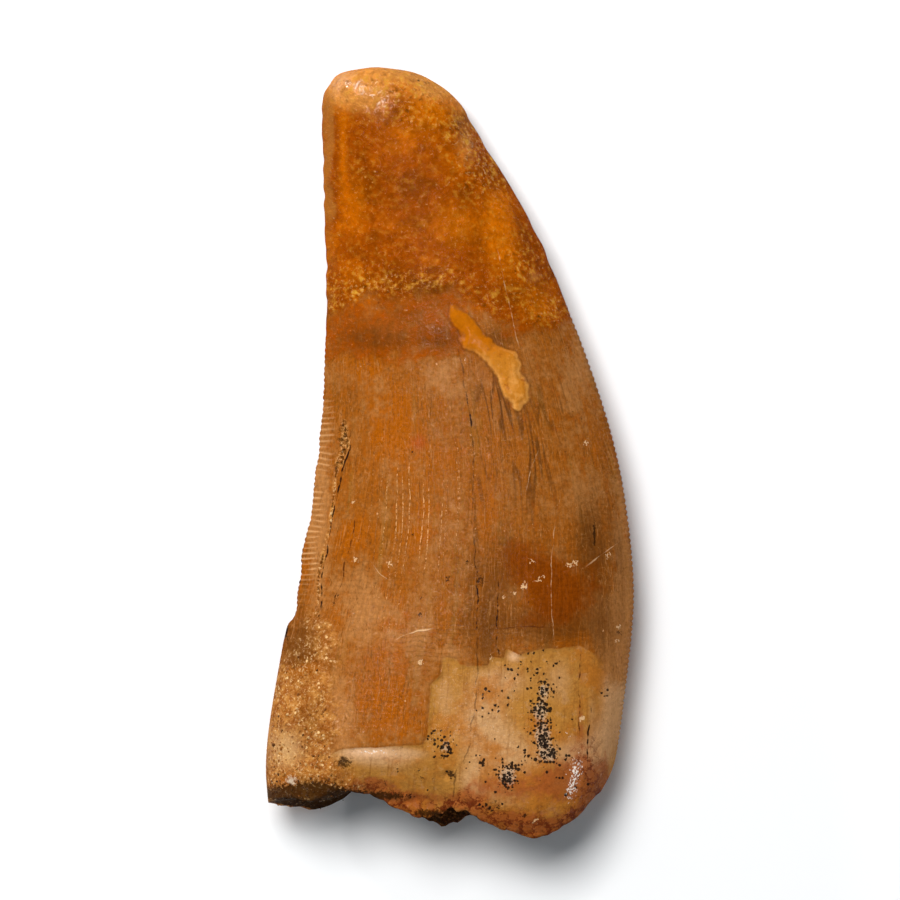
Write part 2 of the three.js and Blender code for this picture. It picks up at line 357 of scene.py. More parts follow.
@dataclass(frozen=True)
class BladePlan:
    """The tooth seen from above, and its thickness: the same driving sizes as the solid's, in mm."""

    base_thickness: float = 13.4
    tip_thickness: float = 6.4
    taper_power: float = 1.4
    rim_pinch: float = 0.9
    rim_pinch_reach: float = 0.09
    tip_rounding_starts: float = 0.87
    bow: float = 0.35
    rest_flat: float = 0.35
    upper_crest: float = 0.54
    lower_crest: float = 0.6
    upper_share: float = 0.52
    rim_fades_at: float = 0.3
    denticle_growth: float = 0.5
    length: float = 70.0
    width: float = 33.2
    # The back edge from the broken corner to the tip, with the step where the crust ends
    distal_edge: Outline = (
        (-16.4, -31.8), (-16.6, -28.5), (-16.3, -24.8), (-15.5, -19.9), (-14.7, -15.9),
        (-13.9, -14.4), (-13.1, -9.4), (-12.3, -3.5), (-11.4, 5.5), (-11.1, 15.5),
        (-11.4, 25.0), (-11.5, 31.4), (-11.1, 33.2), (-9.8, 34.6), (-6.7, 35.2),
    )
    # The front edge, a long even bow
    mesial_edge: Outline = (
        (13.6, -30.8), (14.9, -27.8), (15.9, -21.0), (16.6, -13.6), (16.2, -7.0),
        (15.0, 0.1), (12.8, 7.4), (10.0, 14.6), (6.8, 21.6), (2.2, 29.2),
        (1.0, 31.5), (-1.0, 33.4), (-3.4, 34.7), (-6.7, 35.2),
    )
    # The broken rim of the upper wall, and that of the lower wall, which shows past it at two places
    upper_rim: Outline = (
        (-16.4, -31.8), (-15.3, -31.1), (-12.4, -30.9), (-10.2, -30.2), (-7.2, -30.8),
        (-4.2, -32.3), (-0.8, -32.5), (0.6, -31.7), (2.2, -32.7), (5.0, -34.0),
        (8.4, -34.7), (11.3, -33.2), (13.6, -30.8),
    )
    lower_rim: Outline = (
        (-16.4, -31.8), (-14.8, -32.1), (-12.2, -32.0), (-9.6, -30.8), (-6.6, -31.4),
        (-3.8, -32.8), (-1.6, -34.0), (-0.2, -34.1), (1.6, -33.1), (8.2, -33.6),
        (13.6, -30.8),
    )

    def along(self, share: Array) -> Array:
        """Share of the length at which rows lie, closer together at the base: t(1 + gt/2) / (1 + g/2)."""
        half = self.denticle_growth / 2
        return share * (1 + half * share) / (1 + half)

    def across(self, share: Array) -> Array:
        """Share of the width at which columns lie, closer together near the edges: 65% even and 35%
        (1 - cos(pi t)) / 2."""
        return 0.65 * share + 0.35 * (1 - np.cos(np.pi * share)) / 2

    def rim_offset(self, across: Array, rim: Outline) -> Array:
        """How far a rim lies above or below the straight line between its ends.

        Args:
            across: Share of the width.
            rim: The rim's points.

        Returns:
            The offsets in y.
        """
        curve = spline(rim, np.linspace(0, 1, 600))
        start, end = curve[0], curve[-1]
        x = start[0] + (end[0] - start[0]) * across
        return np.interp(x, curve[:, 0], curve[:, 1]) - (start[1] + (end[1] - start[1]) * across)

    def thickness(self, along: Array) -> Array:
        """Thickness from face to face: a power of the length between base and tip, less the pinch that
        fades as a square from the rim."""
        taper = self.base_thickness + (self.tip_thickness - self.base_thickness) * along**self.taper_power
        return taper - self.rim_pinch * np.maximum(0, 1 - along / self.rim_pinch_reach) ** 2

    def tip_rounding(self, along: Array) -> Array:
        """Share of the thickness left where the tip rounds over: sqrt(1 - t^2.2)."""
        t = np.clip((along - self.tip_rounding_starts) / (1 - self.tip_rounding_starts), 0, 1)
        return np.sqrt(np.maximum(0, 1 - t**2.2))

    def edge_height(self, along: Array) -> Array:
        """Height of the two edges over the surface: the lower share of the thickness, and the bow."""
        held = np.minimum(along, self.tip_rounding_starts)
        lower = (1 - self.upper_share) * self.thickness(held)
        return lower + self.bow * np.sin(np.pi * held) - self.rest_flat

    def flank(self, across: Array, along: Array, face: Face) -> Array:
        """Share of the full height across the blade: (1 - t^p)^q from the crest out to each edge. A low q
        gives a blunt edge, as at the base and tip.

        Args:
            across: Share of the width.
            along: Share of the length.
            face: UPPER or LOWER.

        Returns:
            The shares, 1 at the crest and 0 at the edges.
        """
        crest = self.upper_crest if face is Face.UPPER else self.lower_crest
        rounding = 2.0 if face is Face.UPPER else 2.5
        at_base = 1 - smooth_step(along, 0.02, 0.3)
        blunt = np.maximum(at_base, 0.6 * smooth_step(along, 0.75, 0.95))
        distal_t = np.clip((crest - across) / crest, 0, 1)
        distal = (1 - distal_t ** (rounding + (3.2 - rounding) * blunt)) ** (1.0 - 0.5 * blunt)
        mesial_t = np.clip((across - crest) / (1 - crest), 0, 1)
        mesial = (1 - mesial_t ** (2.5 + 0.5 * blunt)) ** (0.72 - 0.22 * blunt)
        return np.where(across < crest, distal, mesial)


@dataclass(frozen=True)
class Wear:
    """Where each kind of surface shows on the upper face, as outlines, lines and patches in mm."""

    # Lower border of the tip that is rebuilt with sand in resin, from the back edge to the front one
    seam: Outline = (
        (-20.0, 12.2), (-11.4, 12.1), (-9.5, 12.3), (-7.3, 13.7), (-2.7, 14.3), (0.5, 14.8),
        (1.8, 13.7), (4.5, 11.5), (6.6, 10.7), (8.9, 11.2), (11.6, 11.5), (20.0, 11.5),
    )
    # The resin's film runs on down over the enamel, to this height and as far as this side
    film_bottom: float = 8.9
    film_side: float = 1.6
    # A run of yellow filler below the seam, ending in a ragged drop
    filler: Outline = (
        (0.1, 13.5), (1.7, 12.5), (2.5, 11.6), (4.1, 9.8), (6.2, 9.1), (6.5, 7.5), (7.3, 6.1),
        (7.3, 4.9), (6.2, 4.0), (5.0, 5.1), (4.5, 7.2), (2.7, 9.1), (1.3, 9.5), (1.3, 10.7), (0.4, 12.1),
    )
    # Where the enamel has broken away from the dentine, in square steps along its prisms
    dentine: Outline = (
        (-10.4, -38.0), (-10.4, -27.0), (-9.5, -26.6), (-2.4, -26.3), (-1.9, -25.4), (-1.6, -20.9),
        (-0.6, -19.9), (-0.6, -18.3), (0.7, -18.5), (1.0, -19.1), (3.6, -19.2), (3.8, -18.4),
        (5.0, -18.5), (5.2, -17.5), (6.3, -18.2), (7.6, -17.8), (11.9, -17.4), (13.2, -18.2),
        (14.0, -19.9), (14.7, -20.9), (18.0, -21.2), (18.0, -38.0),
    )
    # Sandstone left along the lower back edge
    crust: Outline = (
        (-12.2, -14.6), (-11.5, -14.9), (-10.8, -16.5), (-10.5, -18.5), (-10.5, -26.0), (-9.6, -27.5),
        (-8.6, -29.5), (-8.4, -38.0), (-22.0, -38.0), (-22.0, -19.2), (-15.4, -19.2), (-14.1, -18.0),
        (-12.9, -16.4),
    )
    # Guides that the enamel's fibres run beside, at the back and in front
    fibre_back: Outline = (
        (-18.0, -36.0), (-15.6, -20.0), (-13.7, -11.0), (-12.3, -3.5), (-11.4, 5.5), (-11.2, 15.0),
        (-11.5, 36.0),
    )
    fibre_front: Outline = (
        (17.5, -36.0), (17.2, -20.0), (16.4, -8.0), (14.6, 1.0), (10.4, 14.0), (4.0, 27.0),
        (1.0, 36.0),
    )
    # A split beside the saw edge, packed with sand, and the wide pocket at its upper end
    groove: Outline = (
        (-10.1, -1.0), (-10.3, -2.5), (-10.4, -3.5), (-10.5, -4.5), (-10.7, -6.1), (-10.9, -7.2),
        (-11.3, -8.7), (-11.5, -9.8), (-11.8, -11.2), (-11.8, -13.0), (-11.9, -14.8),
    )
    pocket: Outline = ((-9.5, 2.8), (-9.3, 1.6), (-9.4, 0.2), (-9.9, -0.8))
    # A shallow groove under the swollen end of the rebuilt tip
    cap_groove: Outline = ((-8.2, 30.2), (-4.6, 29.7), (-1.9, 29.2), (-0.3, 30.0), (0.9, 31.0))


@dataclass(frozen=True)
class Step:
    """How a surface stands out at its border, in mm: the distances to the border between which it rises,
    its height, and how uneven its top is, as a share of the height, in lumps of what size."""

    start: float
    full: float
    height: float
    uneven: float = 0.0
    lump_size: float = 1.0
    seed: int = 0

    def relief(self, x: Array, y: Array, inside: Array) -> Array:
        """The surface's height at points: the rise times the height times the unevenness.

        Args:
            x: First coordinate of the plan.
            y: Second coordinate of the plan.
            inside: Distance to the border, positive inside it.

        Returns:
            Heights in mm.
        """
        lumps = rough_cloud(x, y, self.lump_size, self.seed)
        return smooth_step(inside, self.start, self.full) * self.height * (1 + self.uneven * lumps)


@dataclass
class Tooth:
    """The tooth's fine skin: a tube of rows from the broken end to the tip, with columns round it."""

    plan: BladePlan = field(default_factory=BladePlan)
    wear: Wear = field(default_factory=Wear)
    # The grid
    denticles: int = 136
    rows_per_denticle: int = 4
    upper_columns: int = 168
    lower_columns: int = 96
    fine_columns: int = 12
    break_rings: int = 22
    # Where the edges change, as shares of the length
    distal_saw: tuple[float, float] = (0.25, 0.6)
    mesial_saw: tuple[float, float] = (0.06, 0.6)
    distal_ribs: tuple[float, float] = (0.27, 0.52)
    distal_chips: tuple[float, float] = (0.25, 0.64)
    distal_swell: tuple[float, float] = (0.27, 0.36)
    rebuilt_starts: tuple[float, float] = (0.6, 0.66)
    cap_starts: tuple[float, float] = (0.9, 0.97)
    # Heights and depths in mm
    denticle_height: float = 0.11
    distal_wear: float = 0.7
    ridge_height: float = 0.035
    saw_depth: float = 0.5
    chip_depth: float = 0.14
    distal_swell_height: float = 0.2
    cap_overhang: float = 0.3
    mesial_offset: float = 0.28
    resin_height: float = 0.1
    cap_swell: float = 0.3
    ledge_drop: float = 1.9
    corner_drop: float = 1.6
    pulp_depth: float = 3.2
    pit_depth: float = 0.5
    knob_height: float = 0.6
    lower_seam_y: float = 13.0
    runs_round_mm: float = 0.8

    def __post_init__(self) -> None:
        """Works out where the rows and columns lie."""
        self.rows = self.denticles * self.rows_per_denticle
        self.columns = self.upper_columns + self.lower_columns
        column = np.arange(self.columns)
        upper = column <= self.upper_columns
        step = np.where(upper, column / self.upper_columns, (self.columns - column) / self.lower_columns)
        self.is_upper = upper[None, :]
        self.across = self.plan.across(step)[None, :]
        self.row = np.arange(self.rows + 1)[:, None]
        self.along = self.plan.along(self.row / self.rows)
        self.up = self.along * self.plan.length

    def saw(self) -> tuple[Array, Array]:
        """How far each row's ends are moved out, on the back edge and the front edge: each denticle is a
        notch and a rounded crest, and the rebuilt tip has a ragged edge instead.

        Returns:
            Two columns of distances in mm.
        """
        along, up = self.along, self.up
        phase = (self.row % self.rows_per_denticle) / self.rows_per_denticle
        notch = (0.5 + 0.5 * np.cos(2 * np.pi * phase)) ** 1.5
        uneven = 1 + 0.3 * cloud(along * 400, along, 3, 5)
        depth = -self.denticle_height * notch * uneven
        rebuilt = smooth_step(along, *self.rebuilt_starts) * (1 - smooth_step(along, *self.cap_starts))
        chips = self.chip_depth * rough_cloud(up, along, 1.9, 62) * between(along, *self.distal_chips, 0.03)
        swell = self.distal_swell_height * between(along, *self.distal_swell, 0.02)
        swell = swell + self.cap_overhang * smooth_step(along, 0.93, 0.98)
        distal_lumps = 0.1 * cloud(up, along, 0.8, 6) * rebuilt + chips + swell
        mesial_lumps = self.mesial_offset + (0.08 + 0.1 * cloud(up, along, 1.6, 7)) * rebuilt
        distal = self.distal_wear * depth * between(along, *self.distal_saw, 0.02) + distal_lumps
        mesial = depth * between(along, *self.mesial_saw, 0.02) + mesial_lumps
        return distal, mesial

    def plan_points(self) -> tuple[Array, Array, Array]:
        """Places every row and column in plan: each row lies straight between the two edges, moved
        towards the ragged rim near the base, and its ends move out or in with the saw.

        Returns:
            x, y and the distance to the nearer edge, in mm.
        """
        plan = self.plan
        edges = plan.distal_edge, plan.mesial_edge
        distal, mesial = (spline_by_length(edge, self.along[:, 0])[:, None, :] for edge in edges)
        span = mesial - distal
        points = distal + span * self.across[..., None]
        rims = [plan.rim_offset(self.across, rim) for rim in (plan.upper_rim, plan.lower_rim)]
        straighten = np.maximum(0, 1 - self.along / plan.rim_fades_at) ** 2
        width = np.linalg.norm(span, axis=2)
        outward = -span / np.maximum(width, 1e-6)[..., None]
        gaps = width * self.across, width * (1 - self.across)
        distal_push, mesial_push = (
            out * np.clip(1 - gap / self.saw_depth, 0, 1) for out, gap in zip(self.saw(), gaps)
        )
        push = (distal_push - mesial_push) * (self.along < 1)
        x = points[..., 0] + outward[..., 0] * push
        y = points[..., 1] + outward[..., 1] * push + np.where(self.is_upper, *rims) * straighten
        chipped = 0.28 * rough_cloud(x, 0 * x + self.is_upper, 1.5, 8) + 0.14 * cloud(x, 0 * x, 0.45, 9)
        for middle, half_width, depth, shown in (
            (-12.4, 1.6, 0.55, 1), (0.7, 0.6, 0.6, 1), (-2.4, 1.5, 0.6, self.is_upper),
        ):
            chipped = chipped - depth * np.exp(-(((x - middle) / half_width) ** 2)) * shown
        y = y + chipped * np.maximum(0, 1 - self.along / 0.05) * np.sin(np.pi * self.across) ** 0.3
        return x, y, np.minimum(*gaps)

    def marks(self, x: Array, y: Array) -> dict[str, Array]:
        """Signed distances, in mm, to the borders of the upper face's surfaces, positive inside.

        Args:
            x: First coordinate of the plan.
            y: Second coordinate of the plan.

        Returns:
            The distances by name.
        """
        wear = self.wear
        seam = y - np.interp(x, *zip(*wear.seam)) + 0.9 * rough_cloud(x, y, 2.4, 12)
        film = np.minimum(y - wear.film_bottom, wear.film_side - x) + 0.9 * rough_cloud(x, y, 1.6, 17)
        groove = 0.14 + 0.1 * cloud(x, y, 1.4, 13) - distance_to_line(x, y, wear.groove)
        pocket = 0.4 + 0.25 * rough_cloud(x, y, 0.9, 14) - distance_to_line(x, y, wear.pocket)
        return {
            "seam": seam,
            "restored": np.maximum(seam, np.minimum(film, 0.1)),
            "filler": depth_inside(x, y, wear.filler) + 0.32 * rough_cloud(x, y, 0.8, 16),
            "dentine": depth_inside(x, y, wear.dentine) + 0.1 * rough_cloud(x, y, 1.1, 11),
            "crust": depth_inside(x, y, wear.crust) + 0.7 * rough_cloud(x, y, 1.8, 15),
            "groove": np.maximum(groove, pocket),
        }

    def hidden_marks(
        self, x: Array, y: Array, z: Array, inward: Array
    ) -> tuple[dict[str, Array], dict[str, Array]]:
        """The same distances where the photograph shows nothing: on the lower face, and in the broken end.

        Args:
            x: First coordinate.
            y: Second coordinate.
            z: Third coordinate.
            inward: Share of the way in from the broken rim.

        Returns:
            Those of the lower face, and those of the broken end.
        """
        nowhere = np.full(x.shape, -FIELD_REACH)
        seam = y - self.lower_seam_y + 1.2 * rough_cloud(x, y, 2.4, 53)
        dentine = -24.0 + 1.4 * cloud(x, y, 4.0, 51) + 0.3 * rough_cloud(x, y, 1.0, 52) - y
        back = -x - 12.6 - 0.35 * (y + 30) + 1.2 * rough_cloud(x, y, 1.8, 54)
        patch = 1.4 - np.hypot((x - 4) / 1.6, (y + 29) / 1.2) + rough_cloud(x, y, 1.4, 55)
        filled = 8 * (inward - 0.2) + 0.5 * rough_cloud(x, z, 1.6, 56)
        absent = dict.fromkeys(("seam", "restored", "filler", "groove"), nowhere)
        dentine = np.clip(dentine, -FIELD_REACH, FIELD_REACH)
        crust = np.where(y < -12, np.maximum(back, patch), nowhere)
        lower = {"seam": seam, "restored": seam, "dentine": dentine, "crust": crust}
        crust = np.maximum(filled, -x - 8.8 + rough_cloud(x, z, 1.5, 57))
        return absent | lower, absent | {"dentine": -nowhere, "crust": crust}

    def upper_relief(self, x: Array, y: Array, edge: Array, marks: dict[str, Array]) -> Array:
        """What stands out from or is sunk into the smooth upper face.

        Args:
            x: First coordinate of the plan.
            y: Second coordinate of the plan.
            edge: Distance to the nearer edge.
            marks: Distances to the borders.

        Returns:
            Heights in mm.
        """
        below_ledge = np.clip((-26.4 - y) / 5, 0, 1)
        ledge = self.ledge_drop * below_ledge**1.5 * between(x, -8.8, 0.9, 2.2)
        corner = self.corner_drop * np.clip((-30.4 - y) / 4, 0, 1) ** 2 * smooth_step(x, 0, 4)
        steps = sum(step.relief(x, y, marks[name]) for name, step in STEPS.items())
        restored = smooth_step(marks["seam"], -0.3, 0.5)
        lumpy = self.resin_height + 0.07 * rough_cloud(x, y, 0.9, 23) + 0.08 * cloud(x, y, 3.1, 24)
        cap = smooth_step(self.along + 0.012 * cloud(x, y, 2.0, 64), 0.885, 0.945)
        swollen = self.cap_swell * cap * np.sin(np.pi * self.across)
        under_cap = 0.1 + 0.12 * rough_cloud(x, y, 2.0, 63)
        swollen = swollen - under_cap * np.exp(-((distance_to_line(x, y, self.wear.cap_groove) / 0.5) ** 2))
        waves = 0.035 * cloud(self.across * self.plan.width, self.along * 5, 1.3, 25)
        enamel = (1 - restored) * (waves + 0.05 * cloud(x, y, 5.0, 26))
        ribs = self.ridge_height * self.ribs(edge)
        creases = 0.3 - np.abs(rough_cloud(x, y, 1.5, 27))
        rough_corner = patches(x, y, ROUGH) * (0.6 * creases + 0.12 * cloud(x, y, 0.4, 29))
        pit = self.pit_depth * patches(x, y, PIT)
        knobs = self.knob_height * patches(x, y, KNOBS)
        raised = steps + restored * lumpy + swollen + enamel + ribs + rough_corner + knobs
        return raised - ledge - corner - pit

    def ribs(self, edge: Array) -> Array:
        """The ridges that run in from each denticle, bent a little towards the base, on a strip beside
        each edge that is wide at the back and narrow in front. Across them the height is a cosine.

        Args:
            edge: Distance to the nearer edge.

        Returns:
            Values from -1 in the valleys to 1 on the ridges, and a little past them where they are fresh.
        """
        along = self.along
        turns = self.row / self.rows_per_denticle + 0.3 * edge + 0.25 * cloud(self.up, edge, 1.5, 65)
        reach = 1.3 + 0.5 * cloud(along * 60, along, 1.0, 61)
        distal = between(along, *self.distal_ribs, 0.03) * (1 - smooth_step(edge, reach - 0.5, reach + 0.4))
        mesial = between(along, *self.mesial_saw, 0.02) * (1 - smooth_step(edge, 0.3, 0.8))
        worn = np.clip(0.8 + 0.8 * rough_cloud(along * self.denticles, edge * 1.6, 2.1, 28), 0, 1.4)
        return np.cos(2 * np.pi * turns) * np.where(self.across < 0.5, distal, 0.3 * mesial) * worn

    def wall(self) -> tuple[Array, Array, Array, Array]:
        """The side faces: both rise and fall from the edges' height by the flank's share.

        Returns:
            x, y and z of every row and column, and the distance to the nearer edge.
        """
        plan = self.plan
        x, y, edge = self.plan_points()
        rounding = plan.tip_rounding(self.along)
        full = plan.thickness(self.along) * rounding
        inside = np.sin(np.pi * self.across) ** 0.5 * rounding
        rise = plan.upper_share * full * plan.flank(self.across, self.along, Face.UPPER)
        upper = rise + self.upper_relief(x, y, edge, self.marks(x, y)) * inside
        fall = (1 - plan.upper_share) * full * plan.flank(self.across, self.along, Face.LOWER)
        grit = 0.1 * smooth_step(self.along, 0.6, 0.64) * rough_cloud(x, y, 1.2, 31)
        lower = (grit + 0.05 * cloud(x, y, 3.0, 32)) * inside - fall
        height = plan.edge_height(self.along) + np.where(self.is_upper, upper, lower)
        return x, y, np.maximum(0, height), edge

    def broken_end(self, x: Array, y: Array, z: Array) -> tuple[Array, Array, Array, Array]:
        """The broken end: rings drawn in from the rim to its middle, which lies level with the rim's
        highest point, sunk over the pulp hollow and roughened.

        Args:
            x: The rim's points, one per column, and so on for y and z.
            y: Second coordinate.
            z: Third coordinate.

        Returns:
            x, y and z of the rings from the middle outwards, without the rim, and each one's share of
            the way in.
        """
        inward = np.linspace(1, 0, self.break_rings, endpoint=False)[:, None]
        middle_x, middle_z = ((a[0] + a[self.upper_columns]) / 2 for a in (x, z))
        ring_x = x + (middle_x - x) * inward
        ring_z = z + (middle_z - z) * inward
        level = y + (np.max(y) - y) * smooth_step(inward, 0, 0.6)
        hollow = self.pulp_depth * smooth_step(inward + 0.05 * cloud(ring_x, ring_z, 2.0, 41), 0.16, 0.7)
        fade = np.sin(np.pi * np.clip(inward * 1.4, 0, 1) / 2)
        rough = 0.35 * rough_cloud(ring_x, ring_z, 2.2, 42) + 0.12 * cloud(ring_x, ring_z, 0.5, 43)
        return ring_x, level + hollow + rough * fade * (inward < 1), ring_z, inward * np.ones_like(ring_x)

    def fields(self, x: Array, y: Array, z: Array, inward: Array, edge: Array) -> dict[str, Array]:
        """What the finish needs to know at each point, all as smooth values that a mesh can carry. Marks of
        the upper face run on a little way round the edges and then fade.

        Args:
            x: Every point of the grid, first coordinate.
            y: Second coordinate.
            z: Third coordinate.
            inward: Share of the way in from the broken rim, 0 on the side faces.
            edge: Distance to the nearer edge.

        Returns:
            Values by name: plain arrays, or three of them in the last axis.
        """
        rings = self.break_rings
        along = np.concatenate([np.zeros((rings, 1)), self.along])
        is_break = inward > 0
        upper = self.is_upper & ~is_break
        run_on = np.where(self.is_upper, 1.0, np.exp(-edge / self.runs_round_mm))
        marks = self.marks(x, y)
        lower, broken = self.hidden_marks(x, y, z, inward)
        values = {}
        for name, on_upper in marks.items():
            side = on_upper * run_on + lower[name] * (1 - run_on)
            values[name] = np.clip(np.where(is_break, broken[name], side), -FIELD_REACH, FIELD_REACH)
        for name, ovals in STAINS.items():
            values[name] = patches(x, y, ovals) * run_on * ~is_break
        rebuilt = smooth_step(values.pop("seam"), -0.8, 1.2)
        near_back = 1 - smooth_step(edge + 0.4 * rough_cloud(x, y, 2.0, 66), 0.6, 1.3)
        near_back = near_back * (self.across < 0.5) * ~is_break
        patchy = (0.75 + 0.7 * rough_cloud(x, y, 1.3, 59)) * (0.35 + 0.65 * smooth_step(y, 15, 25))
        ridges = np.concatenate([np.zeros_like(x[:rings]), self.ribs(edge[rings:])])
        # On the broken end the dark share is 0.7 to 0.95, more towards the back edge: dirt with painted
        # shade.
        sheltered = 0.7 + 0.25 * smooth_step(3 * rough_cloud(x, z, 2.5, 67) - x, 1.0, 10.0)
        in_groove = np.where(upper, 0.6 * smooth_step(marks["groove"], -0.1, 0.15), 0)
        rim = smooth_step(-along, -0.035, -0.004) * (1 + 0.5 * rough_cloud(x, y, 2.2, 60))
        thin_strip = smooth_step(x, 12.4, 14.0) * (y > -23) * upper
        values |= {
            "dentine": values["dentine"] * (1 - 0.88 * thin_strip),
            "orange": np.where(upper, values["orange"], 0.45 + 0.45 * rough_cloud(x, y, 9.0, 58)),
            "grit": np.where(upper, 0.2 + 0.8 * values["grit"], 0.5) * rebuilt,
            "dirt_and_shade": np.where(is_break, sheltered, np.maximum(values["dirt_and_shade"], in_groove)),
            "edge": np.clip(edge, 0, FIELD_REACH),
            "bevel": near_back * rebuilt * (1 - smooth_step(along, 0.9, 0.95)) * patchy,
            "rib": ridges * (1 - smooth_step(values["crust"], -0.8, 0)),
            "rim": np.where(is_break, 1.0, np.maximum(rim, patches(x, y, RIM_CORNER))),
            "broken": np.where(is_break, 1.0, 0.0),
            "blade": self.blade_place(x, y, is_break),
        }
        for name, cracks in CRACKS.items():
            offsets = [np.where(upper, crack.offset(x, y), CRACK_REACH) for crack in cracks]
            strengths = [np.where(upper, crack.strength(x, y), 0.0) for crack in cracks]
            values[name] = np.stack(offsets, axis=-1)
            values[f"{name}_strength"] = np.stack(strengths, axis=-1)
        return values

    def blade_place(self, x: Array, y: Array, is_break: Array) -> Array:
        """The blade's own coordinates, which its fibres follow: the share of the way from one guide to the
        other, times the width; the height in plan; and a number for the part of the surface.

        Args:
            x: First coordinate of the plan.
            y: Second coordinate of the plan.
            is_break: Which points lie in the broken end.

        Returns:
            Three values in mm in the last axis.
        """
        guides = self.wear.fibre_back, self.wear.fibre_front
        curves = [spline(guide, np.linspace(0, 1, 200)) for guide in guides]
        back, front = (np.interp(y, curve[:, 1], curve[:, 0]) for curve in curves)
        part = np.where(is_break, Face.BREAK, np.where(self.is_upper, Face.UPPER, Face.LOWER))
        return np.stack([(x - back) / (front - back) * self.plan.width, y, part * FACES_APART_MM], axis=-1)

    def triangles(self, index: Array) -> Array:
        """Joins the grid's points. Two columns that both have every row are joined row by row, two that
        have every second row by double rows, and a fine one meets a coarse one by three triangles.

        Args:
            index: Each point's number by row and column, where the rows begin with the broken end.

        Returns:
            Three point numbers to a triangle, without those that have shrunk to a line.
        """
        here = np.arange(self.columns)
        there = (here + 1) % self.columns
        fine, next_fine = self.is_fine(), self.is_fine()[there]
        first, last = self.break_rings, self.break_rings + self.rows
        in_break, single, double = (
            np.arange(*ends)[:, None] for ends in ((0, first), (first, last), (first, last, 2))
        )
        # Corners as steps up by rows and on by columns
        square = ((0, 0), (0, 1), (1, 1)), ((0, 0), (1, 1), (1, 0))
        tall = ((0, 0), (0, 1), (2, 1)), ((0, 0), (2, 1), (2, 0))
        fine_to_coarse = ((0, 0), (0, 1), (1, 0)), ((1, 0), (0, 1), (2, 1)), ((1, 0), (2, 1), (2, 0))
        coarse_to_fine = ((0, 0), (0, 1), (1, 1)), ((0, 0), (1, 1), (2, 0)), ((1, 1), (2, 1), (2, 0))
        found = []
        for rows, chosen, shapes in (
            (in_break, here >= 0, square),
            (single, fine & next_fine, square),
            (double, ~fine & ~next_fine, tall),
            (double, fine & ~next_fine, fine_to_coarse),
            (double, ~fine & next_fine, coarse_to_fine),
        ):
            sides = here[chosen], there[chosen]
            for shape in shapes:
                corners = np.broadcast_arrays(*(index[rows + up, sides[on]] for up, on in shape))
                found.append(np.stack(corners, -1).reshape(-1, 3))
        faces = np.concatenate(found)
        p, q, s = faces.T
        return faces[(p != q) & (q != s) & (s != p)]

    def is_fine(self) -> Array:
        """Which columns have every row: those near the two edges."""
        column = np.arange(self.columns)
        from_edge = np.minimum(np.minimum(column, self.columns - column), np.abs(column - self.upper_columns))
        return from_edge <= self.fine_columns

    def build(self, material: bpy.types.Material) -> tuple[bpy.types.Object, dict[str, Array]]:
        """Makes the mesh.

        Args:
            material: The finish.

        Returns:
            The object, and its points and fields for what is stuck to it.
        """
        *side, edge = self.wall()
        *end, inward = self.broken_end(*(a[0] for a in side))
        x, y, z = (np.concatenate(parts) for parts in zip(end, side))
        inward = np.concatenate([inward, np.zeros_like(edge)])
        edge = np.concatenate([np.zeros_like(end[0]), edge])
        values = self.fields(x, y, z, inward, edge)

        row = np.arange(len(x))[:, None] - self.break_rings
        exists = self.is_fine()[None, :] | (row < 0) | (row % 2 == 0)
        exists[0, 1:] = exists[-1, 1:] = False
        index = np.zeros(exists.shape, int)
        index[exists] = np.arange(exists.sum())
        index[0], index[-1] = index[0, 0], index[-1, 0]

        points = np.stack([x, y, z], axis=-1)[exists]
        points += self.shift_to_frame(points)
        carried = {name: array[exists] for name, array in values.items()}
        tooth = mesh_object("fossil_tooth", points, self.triangles(index), carried, material)
        return tooth, {**carried, "points": points}

    def shift_to_frame(self, points: Array) -> Array:
        """How far to move the skin so that the middle of its plan is over the CAD node's, on the floor.

        Args:
            points: The skin's points.

        Returns:
            The shift in x, y and z, in mm.
        """
        low, high = (np.array(corner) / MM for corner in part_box(NODE))
        middle = (low + high) / 2 - (points.min(0) + points.max(0)) / 2
        return np.array([middle[0], middle[1], low[2] - points[:, 2].min()])


# The filler and the crust stand out of the blade, the groove is sunk, and dentine lies an enamel's
# thickness lower
STEPS = {
    "crust": Step(-0.3, 0.7, 0.45, 0.5, 1.2, 21),
    "filler": Step(-0.15, 0.5, 0.42, 0.3, 1.3, 22),
    "groove": Step(-0.15, 0.25, -0.3),
    "dentine": Step(-0.1, 0.12, -0.25),
}
# Where the broken base and the tip are rough enough to catch the light
ROUGH = (
    Patch(12.6, -28.6, 1.8, 3.0, 0.9), Patch(8.0, -33.4, 2.4, 1.0, 0.8), Patch(12.4, -32.0, 1.4, 1.6, 0.7),
    Patch(-4.0, -31.2, 4.0, 0.8), Patch(2.4, -31.6, 1.6, 0.8, 0.7), Patch(-7.4, 32.6, 2.4, 1.4, 0.3),
)
# A pit in the ledge, the knobs at the tip and the lower corner, and the corner stained as the rim is
PIT = (Patch(-0.1, -29.0, 0.32, 0.32),)
KNOBS = (Patch(-9.9, 33.4, 1.5, 1.6, 0.9), Patch(12.5, -29.2, 1.0, 2.2))
RIM_CORNER = (Patch(12.4, -29.0, 1.5, 2.6, 0.9),)

